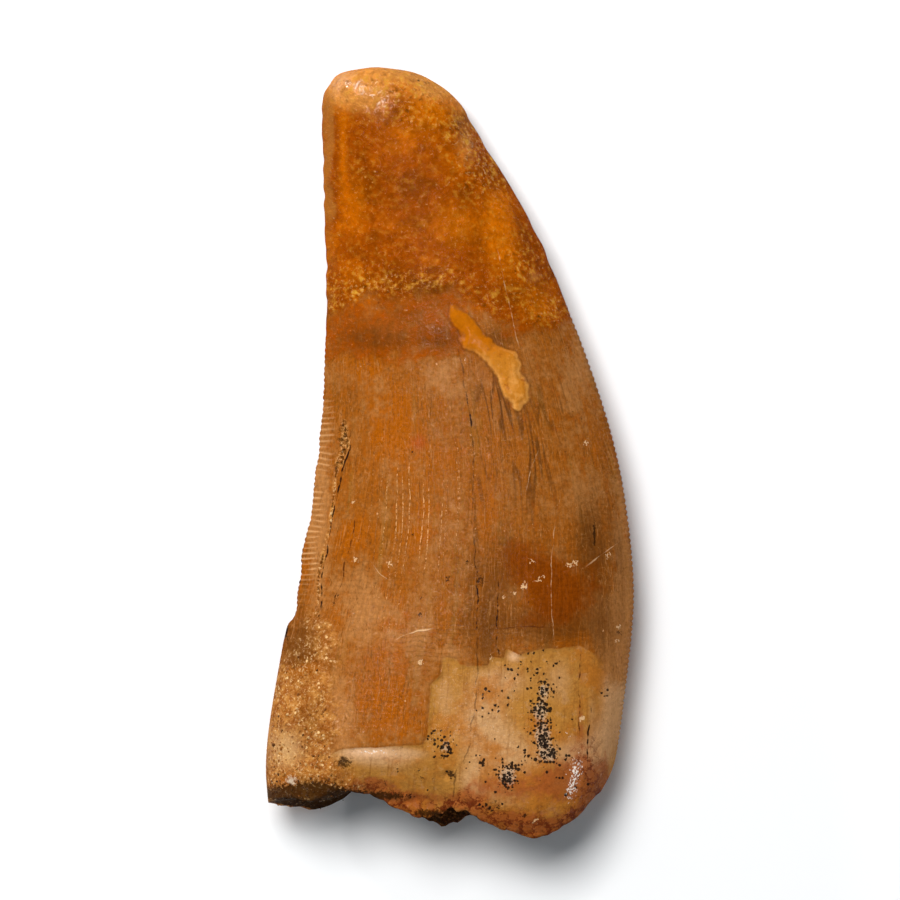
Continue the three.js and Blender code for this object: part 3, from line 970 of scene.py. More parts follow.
# Soft stains and other patches on the upper face
STAIN_OVALS = {
    "orange": [
        (-5.0, 1.9, 2.2, 3.4, 0.8), (-4.8, -23.2, 2.6, 3.0, 0.8), (9.2, -11.8, 2.6, 3.2, 0.9),
        (-8.8, -7.8, 2.0, 2.0, 0.5), (-5.0, -17.5, 1.2, 3.2, 0.4), (3.4, -5.5, 1.4, 3.5, 0.3),
        (-1.0, -1.5, 2.4, 3.0, 0.3), (-7.5, 7.5, 2.6, 2.2, 0.4), (13.0, 4.0, 1.2, 3.5, 0.15),
        (-2.5, -7.0, 1.6, 2.2, 0.4), (10.8, -16.0, 1.4, 2.0, 0.5),
    ],
    "brown": [
        (7.5, -15.3, 5.0, 1.8, 0.5), (14.6, -11.0, 1.6, 6.0, 0.5), (14.2, -17.0, 1.6, 3.0, 0.2),
        (3.4, -17.9, 1.6, 1.1, 0.5), (10.8, 6.4, 2.4, 3.0, 0.1), (4.4, 10.4, 1.9, 0.9, 0.6),
        (9.2, -10.5, 3.2, 4.0, 0.4), (10.4, -15.6, 3.4, 2.0, 0.5), (12.6, -8.0, 1.6, 5.0, 0.5),
        (-2.4, 29.4, 3.4, 0.8, 0.6), (1.3, 23.5, 1.0, 1.2, 0.7), (-3.0, 20.6, 2.0, 1.2, 0.6),
        (-1.0, 16.6, 2.0, 0.8, 0.5), (-3.6, 12.6, 1.6, 0.8, 0.5), (-1.2, 14.9, 1.4, 0.5),
        (-7.4, 15.0, 3.4, 1.8, 0.45), (-9.1, 5.5, 1.2, 1.6, 0.3), (-8.5, 18.5, 1.6, 1.0, 0.5),
        (-4.5, 24.5, 2.0, 1.6, 0.4), (0.8, 29.9, 0.5, 0.5, 0.9), (-6.5, 10.4, 3.5, 1.3, 0.9),
        (-0.8, 10.4, 1.8, 1.2, 0.7), (13.3, -23.0, 0.8, 3.5, 0.45), (12.4, -26.0, 1.2, 1.6, 0.4),
        (5.0, -33.2, 3.4, 0.8, 0.5), (11.4, -27.2, 1.8, 1.0, 0.5), (13.0, -30.6, 1.2, 1.6, 0.5),
        (-13.4, -17.6, 2.2, 3.4, 0.9), (-12.6, -24.0, 1.4, 1.6, 0.4), (-12.6, -29.6, 2.4, 0.9, 0.7),
        (-9.2, -29.0, 1.0, 1.0, 0.4), (3.0, -11.6, 1.8, 3.6, 0.6), (5.8, -10.0, 1.6, 3.4, 0.4),
        (2.9, -15.5, 1.8, 2.0, 0.4),
    ],
    "pale": [
        (-0.6, 6.5, 1.6, 1.8, 0.3), (-2.6, -16.4, 2.0, 1.6, 0.2), (-11.8, -5.0, 0.9, 8.0, 0.8),
        (-7.6, -14.0, 2.6, 3.0, 0.5), (12.6, -4.5, 1.4, 2.4, 0.3), (2.0, -13.0, 1.6, 2.0, 0.3),
        (0.0, -18.0, 1.0, 1.0, 0.4), (11.6, 7.5, 1.4, 4.0, 0.35), (-9.4, -23.0, 1.2, 4.0, 0.4),
        (15.8, -13.0, 1.0, 8.0, 0.6), (15.8, -18.6, 1.6, 2.4, 0.8), (13.8, -14.5, 1.6, 3.0, 0.4),
    ],
    "wood": [
        (4.2, 4.6, 1.8, 3.6, 0.9), (7.4, -0.6, 2.4, 4.6, 0.85), (2.8, -4.0, 1.4, 5.0, 0.45),
        (9.6, 4.5, 1.8, 3.0, 0.4), (13.2, -8.0, 1.4, 3.0, 0.35), (-8.0, -11.0, 1.6, 3.0, 0.2),
    ],
    "red": [
        (-2.7, 0.9, 0.9, 0.9, 0.7), (9.8, -29.6, 2.0, 1.8), (11.9, -24.2, 0.35, 2.0, 0.6),
        (1.9, -31.2, 1.5, 0.8, 0.6), (-3.7, -31.0, 3.2, 0.6, 0.7), (13.4, -31.4, 1.2, 2.0, 0.8),
        (9.2, -33.8, 2.5, 0.6, 0.8), (-6.6, -29.8, 1.8, 0.6, 0.9), (6.0, -33.0, 3.0, 0.7, 0.6),
        (5.4, -30.2, 2.6, 1.3, 0.8), (8.2, -24.6, 1.2, 3.0, 0.3), (11.9, -19.8, 0.3, 2.4, 0.4),
        (2.6, -29.8, 1.6, 0.5, 0.4), (12.0, -28.8, 1.5, 2.6, 0.4), (14.2, -29.0, 0.5, 1.8, 0.6),
    ],
    # Cream patches. Those on the ledge, at (-6.4, -27.3), (-4.6, -28.6) and (-6.2, -27.0), lighten it where
    # it slopes away from the light, and the one on the crust at (-14.8, -26.8) lightens a highlight there:
    # painted light. Those at the tip, at (-9.9, 33.2), (-7.5, 32.5) and (-4.0, 34.7), lighten the ground
    # under its glint and its top edge: partly painted highlight.
    "cream": [
        (3.0, -24.5, 2.4, 3.6, 0.9), (6.0, -27.5, 3.0, 2.4, 0.7), (5.0, -20.5, 2.5, 1.5, 0.6),
        (-6.4, -27.3, 3.4, 0.9), (-4.6, -28.6, 2.4, 0.9, 0.2), (1.6, 28.0, 1.1, 2.4, 0.5),
        (3.0, -29.6, 2.0, 1.4, 0.9), (13.0, -24.0, 0.5, 3.0, 0.5), (14.2, -25.6, 0.6, 2.0, 0.6),
        (-0.4, -22.0, 0.8, 2.6, 0.4), (5.5, -31.5, 2.0, 1.0, 0.4), (10.0, -20.5, 1.4, 2.4, 0.5),
        (-6.2, -27.0, 3.2, 0.4), (-4.0, 34.7, 5.5, 0.9), (-9.9, 33.2, 1.3, 1.4), (-1.2, 33.1, 2.4, 1.2, 0.9),
        (1.2, 31.6, 1.2, 1.4, 0.4), (-14.8, -26.8, 1.6, 1.8, 0.9), (-7.5, 32.5, 2.4, 1.6),
        (5.8, 6.8, 0.5, 2.0, 0.5),
    ],
    # The two ivory patches along the ledge paint the light on its top edge: painted highlight.
    "ivory_highlight": [
        (-7.2, -26.9, 2.0, 0.5, 0.9), (-5.2, -27.2, 3.0, 0.6, 0.35), (5.9, -18.3, 0.6, 0.5, 0.8),
    ],
    "rosy": [
        (15.2, -22.5, 1.3, 4.0, 1.2), (13.6, -27.0, 1.2, 2.6, 0.9), (11.2, -27.2, 2.0, 1.4, 0.9),
    ],
    "ember": [
        (6.1, -9.4, 1.8, 2.2, 0.6), (10.2, -13.0, 2.0, 2.4, 1.1), (8.4, -11.2, 2.0, 2.0, 0.9),
        (7.6, -14.8, 1.6, 1.0, 0.4), (13.0, -11.5, 1.2, 2.6, 0.4),
    ],
    "growth": [
        (4.0, -15.9, 5.0, 1.1, 0.45), (-2.0, -17.6, 3.0, 2.4, 0.35), (10.5, -16.4, 2.5, 0.8, 0.4),
        (-6.0, -22.0, 3.0, 3.0, 0.25), (14.0, -6.0, 1.0, 6.0, 0.2), (-8.0, -12.0, 2.0, 3.0, 0.2),
    ],
    "specks": [
        (8.6, -21.4, 0.8, 0.9), (8.3, -23.2, 1.0, 0.9), (8.5, -25.4, 1.0, 1.3, 1.2), (9.1, -27.2, 1.0, 0.9),
        (6.6, -19.9, 1.0, 0.8, 0.35), (4.2, -22.3, 1.1, 1.2, 0.3), (5.3, -29.1, 1.1, 1.2, 1.1),
        (7.4, -27.6, 1.2, 0.8, 0.45), (-0.3, -26.5, 0.8, 1.1, 0.85), (-1.6, -25.6, 0.35, 0.6, 0.6),
        (-4.0, -29.2, 2.6, 0.7, 0.12), (2.9, -27.7, 0.8, 0.6, 0.5), (4.0, -31.9, 1.5, 0.5, 0.4),
        (14.1, -21.4, 0.5, 0.6, 0.6), (6.9, -17.8, 0.8, 0.4, 0.6), (9.2, -19.0, 1.0, 0.3, 0.4),
        (5.5, -23.0, 4.0, 5.0, 0.05), (11.0, -30.0, 2.0, 2.0, 0.05),
    ],
    "dashes": [
        (-1.6, -6.5, 2.6, 6.0, 0.9), (-5.0, -5.0, 2.8, 8.0, 0.8), (1.6, -1.5, 1.2, 6.0, 0.7),
        (-6.0, -18.0, 2.0, 5.0, 0.4), (7.0, 5.0, 3.0, 3.0, 0.25), (8.0, -8.0, 5.0, 6.0, 0.2),
    ],
    "grit": [
        (-7.5, 14.6, 5.0, 1.9), (-1.2, 15.4, 2.6, 1.4, 0.8), (9.2, 12.6, 1.9, 1.7, 0.9),
        (-10.8, 11.5, 0.8, 2.2, 0.8), (1.4, 29.5, 2.2, 2.4, 0.8), (3.2, 25.4, 2.2, 2.8, 0.9),
        (-3.5, 31.5, 3.0, 2.0, 0.7), (-7.5, 25.5, 1.2, 1.2, 0.35), (4.2, 13.8, 3.2, 1.0, 0.6),
        (6.6, 17.4, 2.0, 2.8, 0.7), (-4.0, 33.8, 5.5, 1.6, 0.75), (-9.6, 32.6, 1.6, 2.0, 0.4),
        (-5.0, 11.0, 4.0, 1.8, 0.35),
    ],
    # The broad patch across the very tip, at (-4.5, 34.2), lightens its top, which slopes from the light:
    # partly painted light.
    "resin": [
        (0.6, 20.6, 3.0, 2.4, 0.6), (4.9, 19.6, 1.6, 2.6, 0.6), (-8.6, 22.4, 1.6, 3.4, 0.6),
        (-9.6, 32.4, 1.8, 1.8, 0.8), (-9.6, 28.0, 0.5, 4.0, 0.6), (-4.5, 34.2, 6.0, 1.6),
        (-0.6, 32.0, 2.0, 1.6, 0.6), (8.4, 13.4, 2.4, 2.4, 0.6), (5.4, 17.0, 2.2, 2.6, 0.4),
        (4.6, 22.8, 1.5, 2.0, 0.6), (-2.0, 31.0, 3.0, 2.4, 0.5), (1.0, 26.6, 2.6, 2.6, 0.45),
        (-5.0, 29.0, 2.4, 1.4, 0.3),
    ],
    "putty": [
        (-6.2, 30.6, 1.8, 1.0, 0.5), (-1.6, 12.0, 1.7, 1.3, 0.15), (-5.4, 11.2, 3.0, 1.8, 0.35),
        (7.8, 16.0, 0.6, 0.6, 0.8), (-0.5, 16.4, 1.6, 0.5, 0.2), (3.6, 29.0, 0.8, 0.6, 0.4),
        (-3.6, 34.2, 2.4, 0.9, 0.6), (-14.2, -29.6, 0.8, 0.7), (-12.0, -28.0, 1.0, 0.5, 0.4),
    ],
    # Dark dirt in cracks and hollows. The patches along the crust's foot, at (-14.6, -31.0) and (-11.6,
    # -30.5), paint the shade on its steep end: painted shade.
    "dirt_and_shade": [
        (-7.6, -30.5, 2.4, 0.6, 0.4), (-5.6, -31.0, 2.2, 0.4), (-9.4, -27.9, 0.9, 0.7, 0.9),
        (-14.6, -31.0, 3.4, 1.0, 1.2), (-11.6, -30.5, 2.4, 1.0), (-1.8, -32.5, 2.0, 0.5, 0.9),
        (-11.8, -14.6, 0.4, 0.6, 0.4), (-9.7, 1.0, 0.4, 1.8, 0.7), (-14.0, -12.6, 0.2, 1.6, 0.9),
        (-14.7, -16.4, 0.2, 1.2, 0.8), (13.2, -7.2, 0.16, 1.5), (15.0, -5.0, 0.2, 0.8, 0.5),
        (2.9, -11.5, 0.5, 0.8, 0.8), (7.2, -17.7, 0.7, 0.3, 0.4),
    ],
    "polish": [
        (-9.2, 33.3, 1.2, 1.0, 1.3), (-6.9, 32.0, 2.0, 1.2, 0.5), (-6.6, -26.9, 2.4, 0.35, 0.8),
        (11.6, -28.6, 0.7, 1.5, 0.95), (11.0, -30.6, 0.6, 1.4, 0.85), (12.3, 0.7, 0.6, 0.4, 0.7),
        (11.4, -10.4, 0.7, 0.4, 0.8), (10.8, -25.4, 0.4, 0.6, 0.6), (-1.5, 11.6, 1.6, 1.6, 0.15),
        (2.0, 27.5, 2.0, 3.0, 0.25),
    ],
}
STAINS = {name: [Patch(*oval) for oval in ovals] for name, ovals in STAIN_OVALS.items()}

# Single chips and dots on the upper face, each by its own place. Many pale ones are painted glints on small
# bumps of the enamel.
DARK_SPOTS = tuple(Spot(*row) for row in (
    (-0.2, -11.5, 0.15), (-2.5, -13.2, 0.12), (-2.7, -14.8, 0.14), (-10.3, -13.1, 0.12),
    (-10.5, -13.7, 0.1), (0.1, -29.1, 0.3), (-4.7, -28.7, 0.15), (-5.8, -30.0, 0.15),
    (-2.8, -28.8, 0.12), (-2.5, -29.5, 0.13), (-3.6, -31.1, 0.22), (6.7, -32.9, 0.15),
    (3.5, -32.2, 0.16), (4.3, -32.1, 0.13), (15.3, -16.5, 0.16), (1.5, -10.0, 0.12),
    (0.7, 30.6, 0.14), (1.0, 29.9, 0.12),
))
PALE_CHIPS_AND_PAINTED_GLINTS = tuple(Spot(*row) for row in (
    (-2.7, -19.0, 0.15), (12.3, 0.7, 0.2), (10.7, -10.3, 0.16), (11.3, -10.1, 0.18),
    (7.4, -10.0, 0.16), (6.7, -12.2, 0.26), (8.0, -11.6, 0.12), (8.4, -11.2, 0.1),
    (4.8, -13.1, 0.12), (5.7, -12.8, 0.14), (14.3, -9.5, 0.13), (15.3, -15.9, 0.12),
    (15.1, -17.2, 0.12), (-8.6, -9.8, 0.13), (-5.5, -10.2, 0.13), (3.7, -18.6, 0.16),
    (11.9, -24.1, 0.15), (7.7, -33.4, 0.18), (-8.9, -4.6, 0.12), (1.4, 8.2, 0.1),
))

# Thin lines on the upper face. Each set rides on the mesh as one vector, so it has three
CRACKS: dict[str, list[Crack]] = {
    # The long crack down the middle, a short one beside it, and the one near the front edge
    "dark_cracks": [
        Crack(((0.9, 10.0), (1.6, 4.7), (2.0, 3.5), (2.1, 1.8), (2.3, -1.1), (2.1, -6.5), (2.3, -8.9),
               (2.5, -10.6), (2.6, -15.7), (2.6, -19.2), (2.4, -22.4), (1.8, -27.0), (0.7, -28.5),
               (0.3, -32.6)), bold=((2.0, 5.0), (-16.0, -9.0)), faint=0.5, seed=101),
        Crack(((4.6, -11.2), (4.4, -14.8), (4.4, -18.6)), seed=103),
        Crack(((12.9, -22.6), (12.8, -24.5), (12.5, -26.4), (12.7, -29.0)), seed=105),
    ],
    # Brown hairlines: beside the groove, in the dentine, and across the blade over the dentine
    "brown_cracks": [
        Crack(((-8.4, -5.5), (-8.7, -7.4), (-9.5, -10.6), (-10.6, -14.2)), wobble=0.2, seed=107),
        Crack(((11.9, -17.6), (11.8, -21.0), (11.9, -26.0)), seed=109),
        Crack(((3.8, -15.9), (5.2, -15.7), (7.5, -15.6), (10.2, -15.8)), Runs.ACROSS, seed=111),
    ],
    # Pale scratches: by the front edge, in the rebuilt tip, and above the dentine
    "scratches": [
        Crack(((12.2, -10.4), (16.3, -7.5)), Runs.ACROSS, faint=0.55, wobble=0.05, seed=113),
        Crack(((4.4, 18.6), (5.4, 14.0), (6.4, 9.4)), faint=0.5, wobble=0.06, seed=115),
        Crack(((-5.0, -17.0), (-3.8, -16.3), (-0.8, -15.7)), Runs.ACROSS, faint=0.75, wobble=0.08, seed=117),
    ],
    # Beside the sand in the groove, a dark line of painted shade along its right side; and cracks along the
    # crust's ragged back edge
    "groove_shade_and_edge_cracks": [
        Crack(((-9.0, 2.4), (-8.9, 0.6), (-9.5, -1.0), (-9.9, -2.5), (-10.2, -4.5), (-10.5, -6.1),
               (-11.0, -8.7), (-11.5, -11.2), (-11.6, -14.6)), wobble=0.1, seed=125),
        Crack(((-13.4, -10.6), (-13.8, -12.6), (-14.0, -14.2)), wobble=0.1, fade=0.5, seed=127),
        Crack(((-14.4, -14.8), (-14.7, -16.0), (-14.9, -17.2)), wobble=0.1, fade=0.5, seed=129),
    ],
    # Faint pale lines: down the front half, and two that slant over the enamel
    "faint_lines": [
        Crack(((10.2, -3.0), (9.7, -6.4), (9.2, -10.0), (9.4, -17.0)), faint=0.45, wobble=0.08, seed=119),
        Crack(((-7.2, -9.6), (-6.2, -10.9), (-4.7, -11.9)), Runs.ACROSS, faint=0.5, wobble=0.06, seed=121),
        Crack(((8.2, 0.6), (7.4, -1.6), (6.9, -3.6)), faint=0.6, wobble=0.08, seed=123),
    ],
}


def mesh_object(
    name: str, points: Array, faces: Array, values: dict[str, Array], material: bpy.types.Material,
    smooth: bool = True,
) -> bpy.types.Object:
    """Puts arrays into a mesh in the scene.

    Args:
        name: The piece's name.
        points: Places in mm.
        faces: Three point numbers to a triangle.
        values: Attributes of the points, as single values or threes.
        material: The finish.
        smooth: Whether light falls smoothly across the triangles.

    Returns:
        The object, at the origin.
    """
    mesh = bpy.data.meshes.new(name)
    mesh.from_pydata((points * MM).tolist(), [], faces.tolist())
    mesh.polygons.foreach_set("use_smooth", np.full(len(faces), smooth))
    for key, array in values.items():
        is_vector = array.ndim == 2
        kind, slot = ("FLOAT_VECTOR", "vector") if is_vector else ("FLOAT", "value")
        mesh.attributes.new(key, kind, "POINT").data.foreach_set(slot, array.astype(np.float32).ravel())
    mesh.materials.append(material)
    mesh.update()
    piece = bpy.data.objects.new(name, mesh)
    bpy.context.scene.collection.objects.link(piece)
    return piece


@dataclass(frozen=True)
class Layer:
    """One finish worked out in a node tree: its colour, its roughness and its height in mm."""

    colour: Socket
    roughness: Socket
    height: Socket


@dataclass(frozen=True)
class Patterns:
    """What every finish reads: the point and the blade's own coordinates in mm, the fields that the mesh
    carries, and random lumps and grains of real sizes that several finishes share."""

    place: Socket
    upper_place: Socket
    warped: Socket
    blade: Socket
    fields: dict[str, Socket]
    clouds: Socket
    blotches: Socket
    grit: Socket
    fibres: Socket
    grain_middle: Socket
    grain_chance: Socket

    def __getitem__(self, name: str) -> Socket:
        """The field of that name."""
        return self.fields[name]


@dataclass
class Graph:
    """A material's nodes."""

    tree: bpy.types.NodeTree

    def add(
        self, kind: str, inputs: dict | Sequence = (), output: int | str = 0, **settings
    ) -> Socket | None:
        """Adds a node with its settings and links.

        Args:
            kind: The node's type, without the prefix that all shader nodes share, and its operation after
                a dot, if it has one.
            inputs: Values or sockets, in order, or by input name or number.
            output: Which output to return.
            **settings: The node's own properties.

        Returns:
            The output socket, or nothing for a node that has none.
        """
        kind, _, operation = kind.partition(".")
        node = self.tree.nodes.new(f"ShaderNode{kind}")
        if operation:
            settings["operation"] = operation
        for key, value in settings.items():
            setattr(node, key, value)
        for key, value in inputs.items() if isinstance(inputs, dict) else enumerate(inputs):
            if isinstance(value, Socket):
                self.tree.links.new(value, node.inputs[key])
            else:
                node.inputs[key].default_value = value
        return node.outputs[output] if len(node.outputs) else None

    def lumps(
        self, at: Socket, size_mm: tuple[float, float, float], detail: float, roughness: float = 0.6
    ) -> Socket:
        """Random lumps of a real size.

        Args:
            at: The point in mm.
            size_mm: The lumps' size along each axis.
            detail: How many times finer lumps are added.
            roughness: How strong the finer ones are.

        Returns:
            Values about 0.5, mostly between 0.3 and 0.7.
        """
        scaled = self.add("VectorMath.MULTIPLY", (at, tuple(1 / s for s in size_mm)))
        inputs = {"Vector": scaled, "Scale": 1.0, "Detail": detail, "Roughness": roughness}
        return self.add("TexNoise", inputs)

    def lay(self, colour: Socket | tuple[float, ...], over: str, *shares: Socket) -> Socket:
        """Lays a colour over another, by the product of shares from 0 to 1.

        Args:
            colour: The colour below.
            over: The colour above, as sRGB hex.
            *shares: How much of it shows.

        Returns:
            The colour that is seen.
        """
        share = shares[0]
        for other in shares[1:]:
            share = self.add("Math.MULTIPLY", (share, other))
        return self.add("Mix", {0: share, 6: colour, 7: linear(over)}, 2, data_type="RGBA")

    def stain(self, colour: Socket | tuple[float, ...], *rows: tuple) -> Socket:
        """Lays colours over another in turn, each where a pattern rises smoothly from one value to another.

        Args:
            colour: The colour below.
            *rows: For each stain its colour as sRGB hex, the pattern, the pattern's value where the stain
                starts to show and where it shows most, and how much shows there, if that isn't all.

        Returns:
            The colour that is seen.
        """
        for over, pattern, start, full, *most in rows:
            ends = (pattern, start, full, 0.0, *most)
            colour = self.lay(colour, over, self.add("MapRange", ends, interpolation_type="SMOOTHSTEP"))
        return colour

    def shade(self, colour: Socket, pattern: Socket, darkest: float, lightest: float) -> Socket:
        """Darkens a colour where random lumps are low and lightens it where they are high.

        Args:
            colour: The colour.
            pattern: The lumps.
            darkest: The least factor.
            lightest: The greatest factor.

        Returns:
            The shaded colour.
        """
        factor = self.add("MapRange", (pattern, 0.3, 0.7, darkest, lightest))
        return self.add("VectorMath.SCALE", {0: colour, "Scale": factor})

    def place_mm(self) -> Socket:
        """The point in the object's own coordinates, in mm."""
        return self.add("VectorMath.SCALE", {0: self.add("TexCoord", output="Object"), "Scale": 1 / MM})

    def patterns(self, names: Sequence[str]) -> Patterns:
        """Adds what every finish reads.

        Args:
            names: The fields that the mesh carries.

        Returns:
            Their sockets.
        """
        place = self.place_mm()
        blade = self.add("Attribute", output="Vector", attribute_name="blade")
        grains = self.add("TexVoronoi", {"Vector": place, "Scale": 1 / GRAIN_MM})
        x, y, z = self.add("SeparateXYZ", (place,)).node.outputs
        below = self.add("MapRange", (z, *FACES_MEET_MM, 0.0, LOWER_SHIFT_MM))
        upper_place = self.add("CombineXYZ", (x, y, below))
        grit = self.lumps(place, (0.3, 0.3, 0.3), 2.0, 0.7)
        push = self.add("VectorMath.SUBTRACT", (grit.node.outputs["Color"], (0.5, 0.5, 0.5)))
        push = self.add("VectorMath.MULTIPLY", (push, (WARP_MM, WARP_MM, 0)))
        return Patterns(
            place=place,
            upper_place=upper_place,
            warped=self.add("VectorMath.ADD", (push, upper_place)),
            blade=blade,
            fields={name: self.add("Attribute", output="Fac", attribute_name=name) for name in names},
            clouds=self.lumps(place, (4.5, 4.5, 4.5), 4.0),
            blotches=self.lumps(place, (0.9, 0.9, 0.9), 4.0, 0.65),
            grit=grit,
            fibres=self.lumps(blade, (0.26, 4.5, 1.0), 4.0, 0.65),
            grain_middle=grains,
            grain_chance=self.add("SeparateColor", (grains.node.outputs["Color"],), "Red"),
        )

    def blend(self, share: Socket, low: Layer, high: Layer) -> Layer:
        """Lays one finish over another.

        Args:
            share: How much of the upper finish shows, from 0 to 1.
            low: The finish below.
            high: The finish above.

        Returns:
            The finish that is seen.
        """
        colour = self.add("Mix", {0: share, 6: low.colour, 7: high.colour}, 2, data_type="RGBA")
        roughness = self.add("Mix", {0: share, 2: low.roughness, 3: high.roughness})
        height = self.add("Mix", {0: share, 2: low.height, 3: high.height})
        return Layer(colour, roughness, height)


def empty_material(name: str) -> tuple[bpy.types.Material, Graph]:
    """A new material, and its graph without nodes."""
    made = bpy.data.materials.new(name)
    made.use_nodes = True
    made.node_tree.nodes.clear()
    return made, Graph(made.node_tree)


@dataclass(frozen=True)
class Finish:
    """A finish worked out in a material's nodes, from the patterns that all finishes share."""

    graph: Graph
    p: Patterns

    def with_relief(self, colour: Socket, rough: tuple, *lumps: tuple[Socket, float]) -> Layer:
        """Adds roughness and height to a colour.

        Args:
            colour: The finished colour.
            rough: A pattern, two of its values, and the roughness at each.
            *lumps: Patterns, each with its height in mm.

        Returns:
            The finish.
        """
        height = 0.0
        for pattern, high in lumps:
            height = self.graph.add("Math.MULTIPLY_ADD", (pattern, high, height))
        return Layer(colour, self.graph.add("MapRange", rough), height)


@dataclass(frozen=True)
class FossilEnamel(Finish):
    """Fossil enamel: a dense skin of apatite fibres, stained by iron and polished by wear. The fibres
    give fine streaks along the blade, 0.26 mm apart and clear in some places only, and growth lines
    cross them here and there. Old splits between them hold pale dust, in broken lines about 1 mm apart."""

    tan: str = "#915115"
    orange: str = "#A05206"
    sienna: str = "#96481C"
    straw: str = "#96661E"
    brown: str = "#67380E"
    umber: str = "#4E2A0C"
    pale: str = "#AC723C"
    dust: str = "#E4AE70"
    red: str = "#A03A1A"
    ember: str = "#783400"
    chip: str = "#D89E68"
    dot: str = "#2A170B"
    dash_spacing_mm: float = 0.9
    chip_spacing_mm: float = 1.5
    growth_spacing_mm: float = 0.45
    wood_lines: float = 7.0

    def layer(self) -> Layer:
        """The stains, the lines and the wear, from the oldest to the newest."""
        graph, p = self.graph, self.p
        bands = graph.lumps(p.blade, (1.7, 16.0, 1.0), 4.0, 0.7)
        mottle = graph.add("Math.MULTIPLY_ADD", (bands, 0.7, p.clouds))
        mottle = graph.add("Math.ADD", (mottle, p.blotches))
        clear = graph.add("MapRange", (p.clouds, 0.6, 0.4, 0.1, 0.3))
        colour = graph.stain(
            linear(self.tan),
            (self.straw, bands, 0.46, 0.32, 0.5),
            (self.sienna, p.blotches, 0.54, 0.74, 0.45),
            (self.orange, graph.add("Math.ADD", (mottle, p["orange"])), 1.25, 1.95),
            (self.pale, graph.add("Math.SUBTRACT", (p["pale"], mottle)), -1.4, -0.9, 0.85),
            (self.brown, graph.add("Math.MULTIPLY_ADD", (bands, -1.4, p["brown"])), -0.75, 0.2, 0.9),
            (self.red, p["red"], 0.1, 0.9, 0.6),
            (self.brown, p.fibres, 0.5, 0.7, clear),
            (self.pale, p.fibres, 0.48, 0.3, clear),
        )
        colour = self.scuffs(self.growth_lines(self.wood_grain(colour)))
        burnt = graph.add("Math.MULTIPLY_ADD", (p.blotches, 0.8, p["ember"]))
        colour = graph.stain(colour, (self.ember, burnt, 0.5, 1.2, 0.85))
        colour = graph.shade(colour, p.fibres, 0.86, 1.14)
        colour = graph.shade(colour, p.grit, 0.78, 1.22)
        colour = self.chips(self.dusty_splits(colour))
        return self.with_relief(colour, (p.grit, 0.3, 0.7, 0.42, 0.58), (p.fibres, 0.07), (p.grit, 0.05))

    def wood_grain(self, colour: Socket) -> Socket:
        """Dark wavy lines along the blade: the contour lines of lumps drawn out along it.

        Args:
            colour: The colour below.

        Returns:
            The colour with the lines.
        """
        graph, p = self.graph, self.p
        long_lumps = graph.lumps(p.blade, (1.8, 14.0, 1.0), 1.5, 0.5)
        steps = graph.add("Math.MULTIPLY", (long_lumps, self.wood_lines))
        contour = graph.add("Math.PINGPONG", (steps, 0.5))
        broken = graph.add("Math.MULTIPLY_ADD", (p.clouds, 0.3, contour))
        line = graph.add("MapRange", (broken, 0.36, 0.14), interpolation_type="SMOOTHSTEP")
        return graph.lay(colour, self.umber, line, p["wood"])

    def growth_lines(self, colour: Socket) -> Socket:
        """Thin brown lines across the blade: a slow zigzag of the height, bent by lumps and broken by grit.

        Args:
            colour: The colour below.

        Returns:
            The colour with the lines.
        """
        graph, p = self.graph, self.p
        up = graph.add("SeparateXYZ", (p.blade,), "Y")
        bent = graph.add("Math.MULTIPLY_ADD", (p.clouds, 2.0, up))
        zigzag = graph.add("Math.PINGPONG", (bent, self.growth_spacing_mm / 2))
        broken = graph.add("Math.MULTIPLY_ADD", (p.grit, 0.12, zigzag))
        line = graph.add("MapRange", (broken, 0.15, 0.09), interpolation_type="SMOOTHSTEP")
        return graph.lay(colour, self.brown, line, p["growth"])

    def scuffs(self, colour: Socket) -> Socket:
        """Hair-thin pale scratches and brown cracks in all directions, most of them along the blade: where
        lumps drawn out one way or the other pass through their middle value.

        Args:
            colour: The colour below.

        Returns:
            The colour with the lines.
        """
        graph, p = self.graph, self.p
        for ink, size, width, most in (
            (self.pale, (0.8, 7.0, 1.0), 0.012, 0.5),
            (self.brown, (0.5, 4.0, 1.0), 0.014, 0.6),
            (self.dust, (2.4, 1.2, 1.0), 0.005, 0.14),
        ):
            off = graph.add("Math.SUBTRACT", (graph.lumps(p.blade, size, 2.0), 0.5))
            off = graph.add("Math.ABSOLUTE", (off,))
            patchy = graph.add("MapRange", (p.clouds, 0.4, 0.6, width / 8, width))
            line = graph.add("Math.DIVIDE", (off, patchy))
            colour = graph.lay(colour, ink, graph.add("MapRange", (line, 1.2, 0.4, 0.0, most)))
        return colour

    def dusty_splits(self, colour: Socket) -> Socket:
        """Broken pale lines along the blade: points near the middles of random stretches across it, cut
        into dashes by lumps, with brown in the gaps.

        Args:
            colour: The colour below.

        Returns:
            The colour with the lines.
        """
        graph, p = self.graph, self.p
        wander = graph.lumps(p.blade, (3.0, 6.0, 1.0), 2.0)
        across = graph.add("SeparateXYZ", (p.blade,), "X")
        line_at = graph.add("Math.MULTIPLY_ADD", (wander, 0.9, across))
        spaced = {"W": line_at, "Scale": 1 / self.dash_spacing_mm}
        lines = graph.add("TexVoronoi", spaced, voronoi_dimensions="1D")
        clumped = graph.add("Math.MULTIPLY_ADD", (p.blotches, -0.18, lines))
        on_line = graph.add("MapRange", (clumped, -0.03, -0.075))
        cut = graph.lumps(p.blade, (0.35, 0.3, 1.0), 2.0, 0.7)
        wanted = graph.add("MapRange", (p["dashes"], 0.0, 1.0, -0.72, -0.45))
        over = graph.add("Math.ADD", (cut, wanted))
        dashes = graph.add("MapRange", (over, -0.02, 0.12, 0.0, 0.8))
        gaps = graph.add("MapRange", (over, 0.0, -0.08, 0.0, 0.55))
        colour = graph.lay(colour, self.umber, gaps, p["dashes"], on_line)
        return graph.lay(colour, self.dust, dashes, on_line)

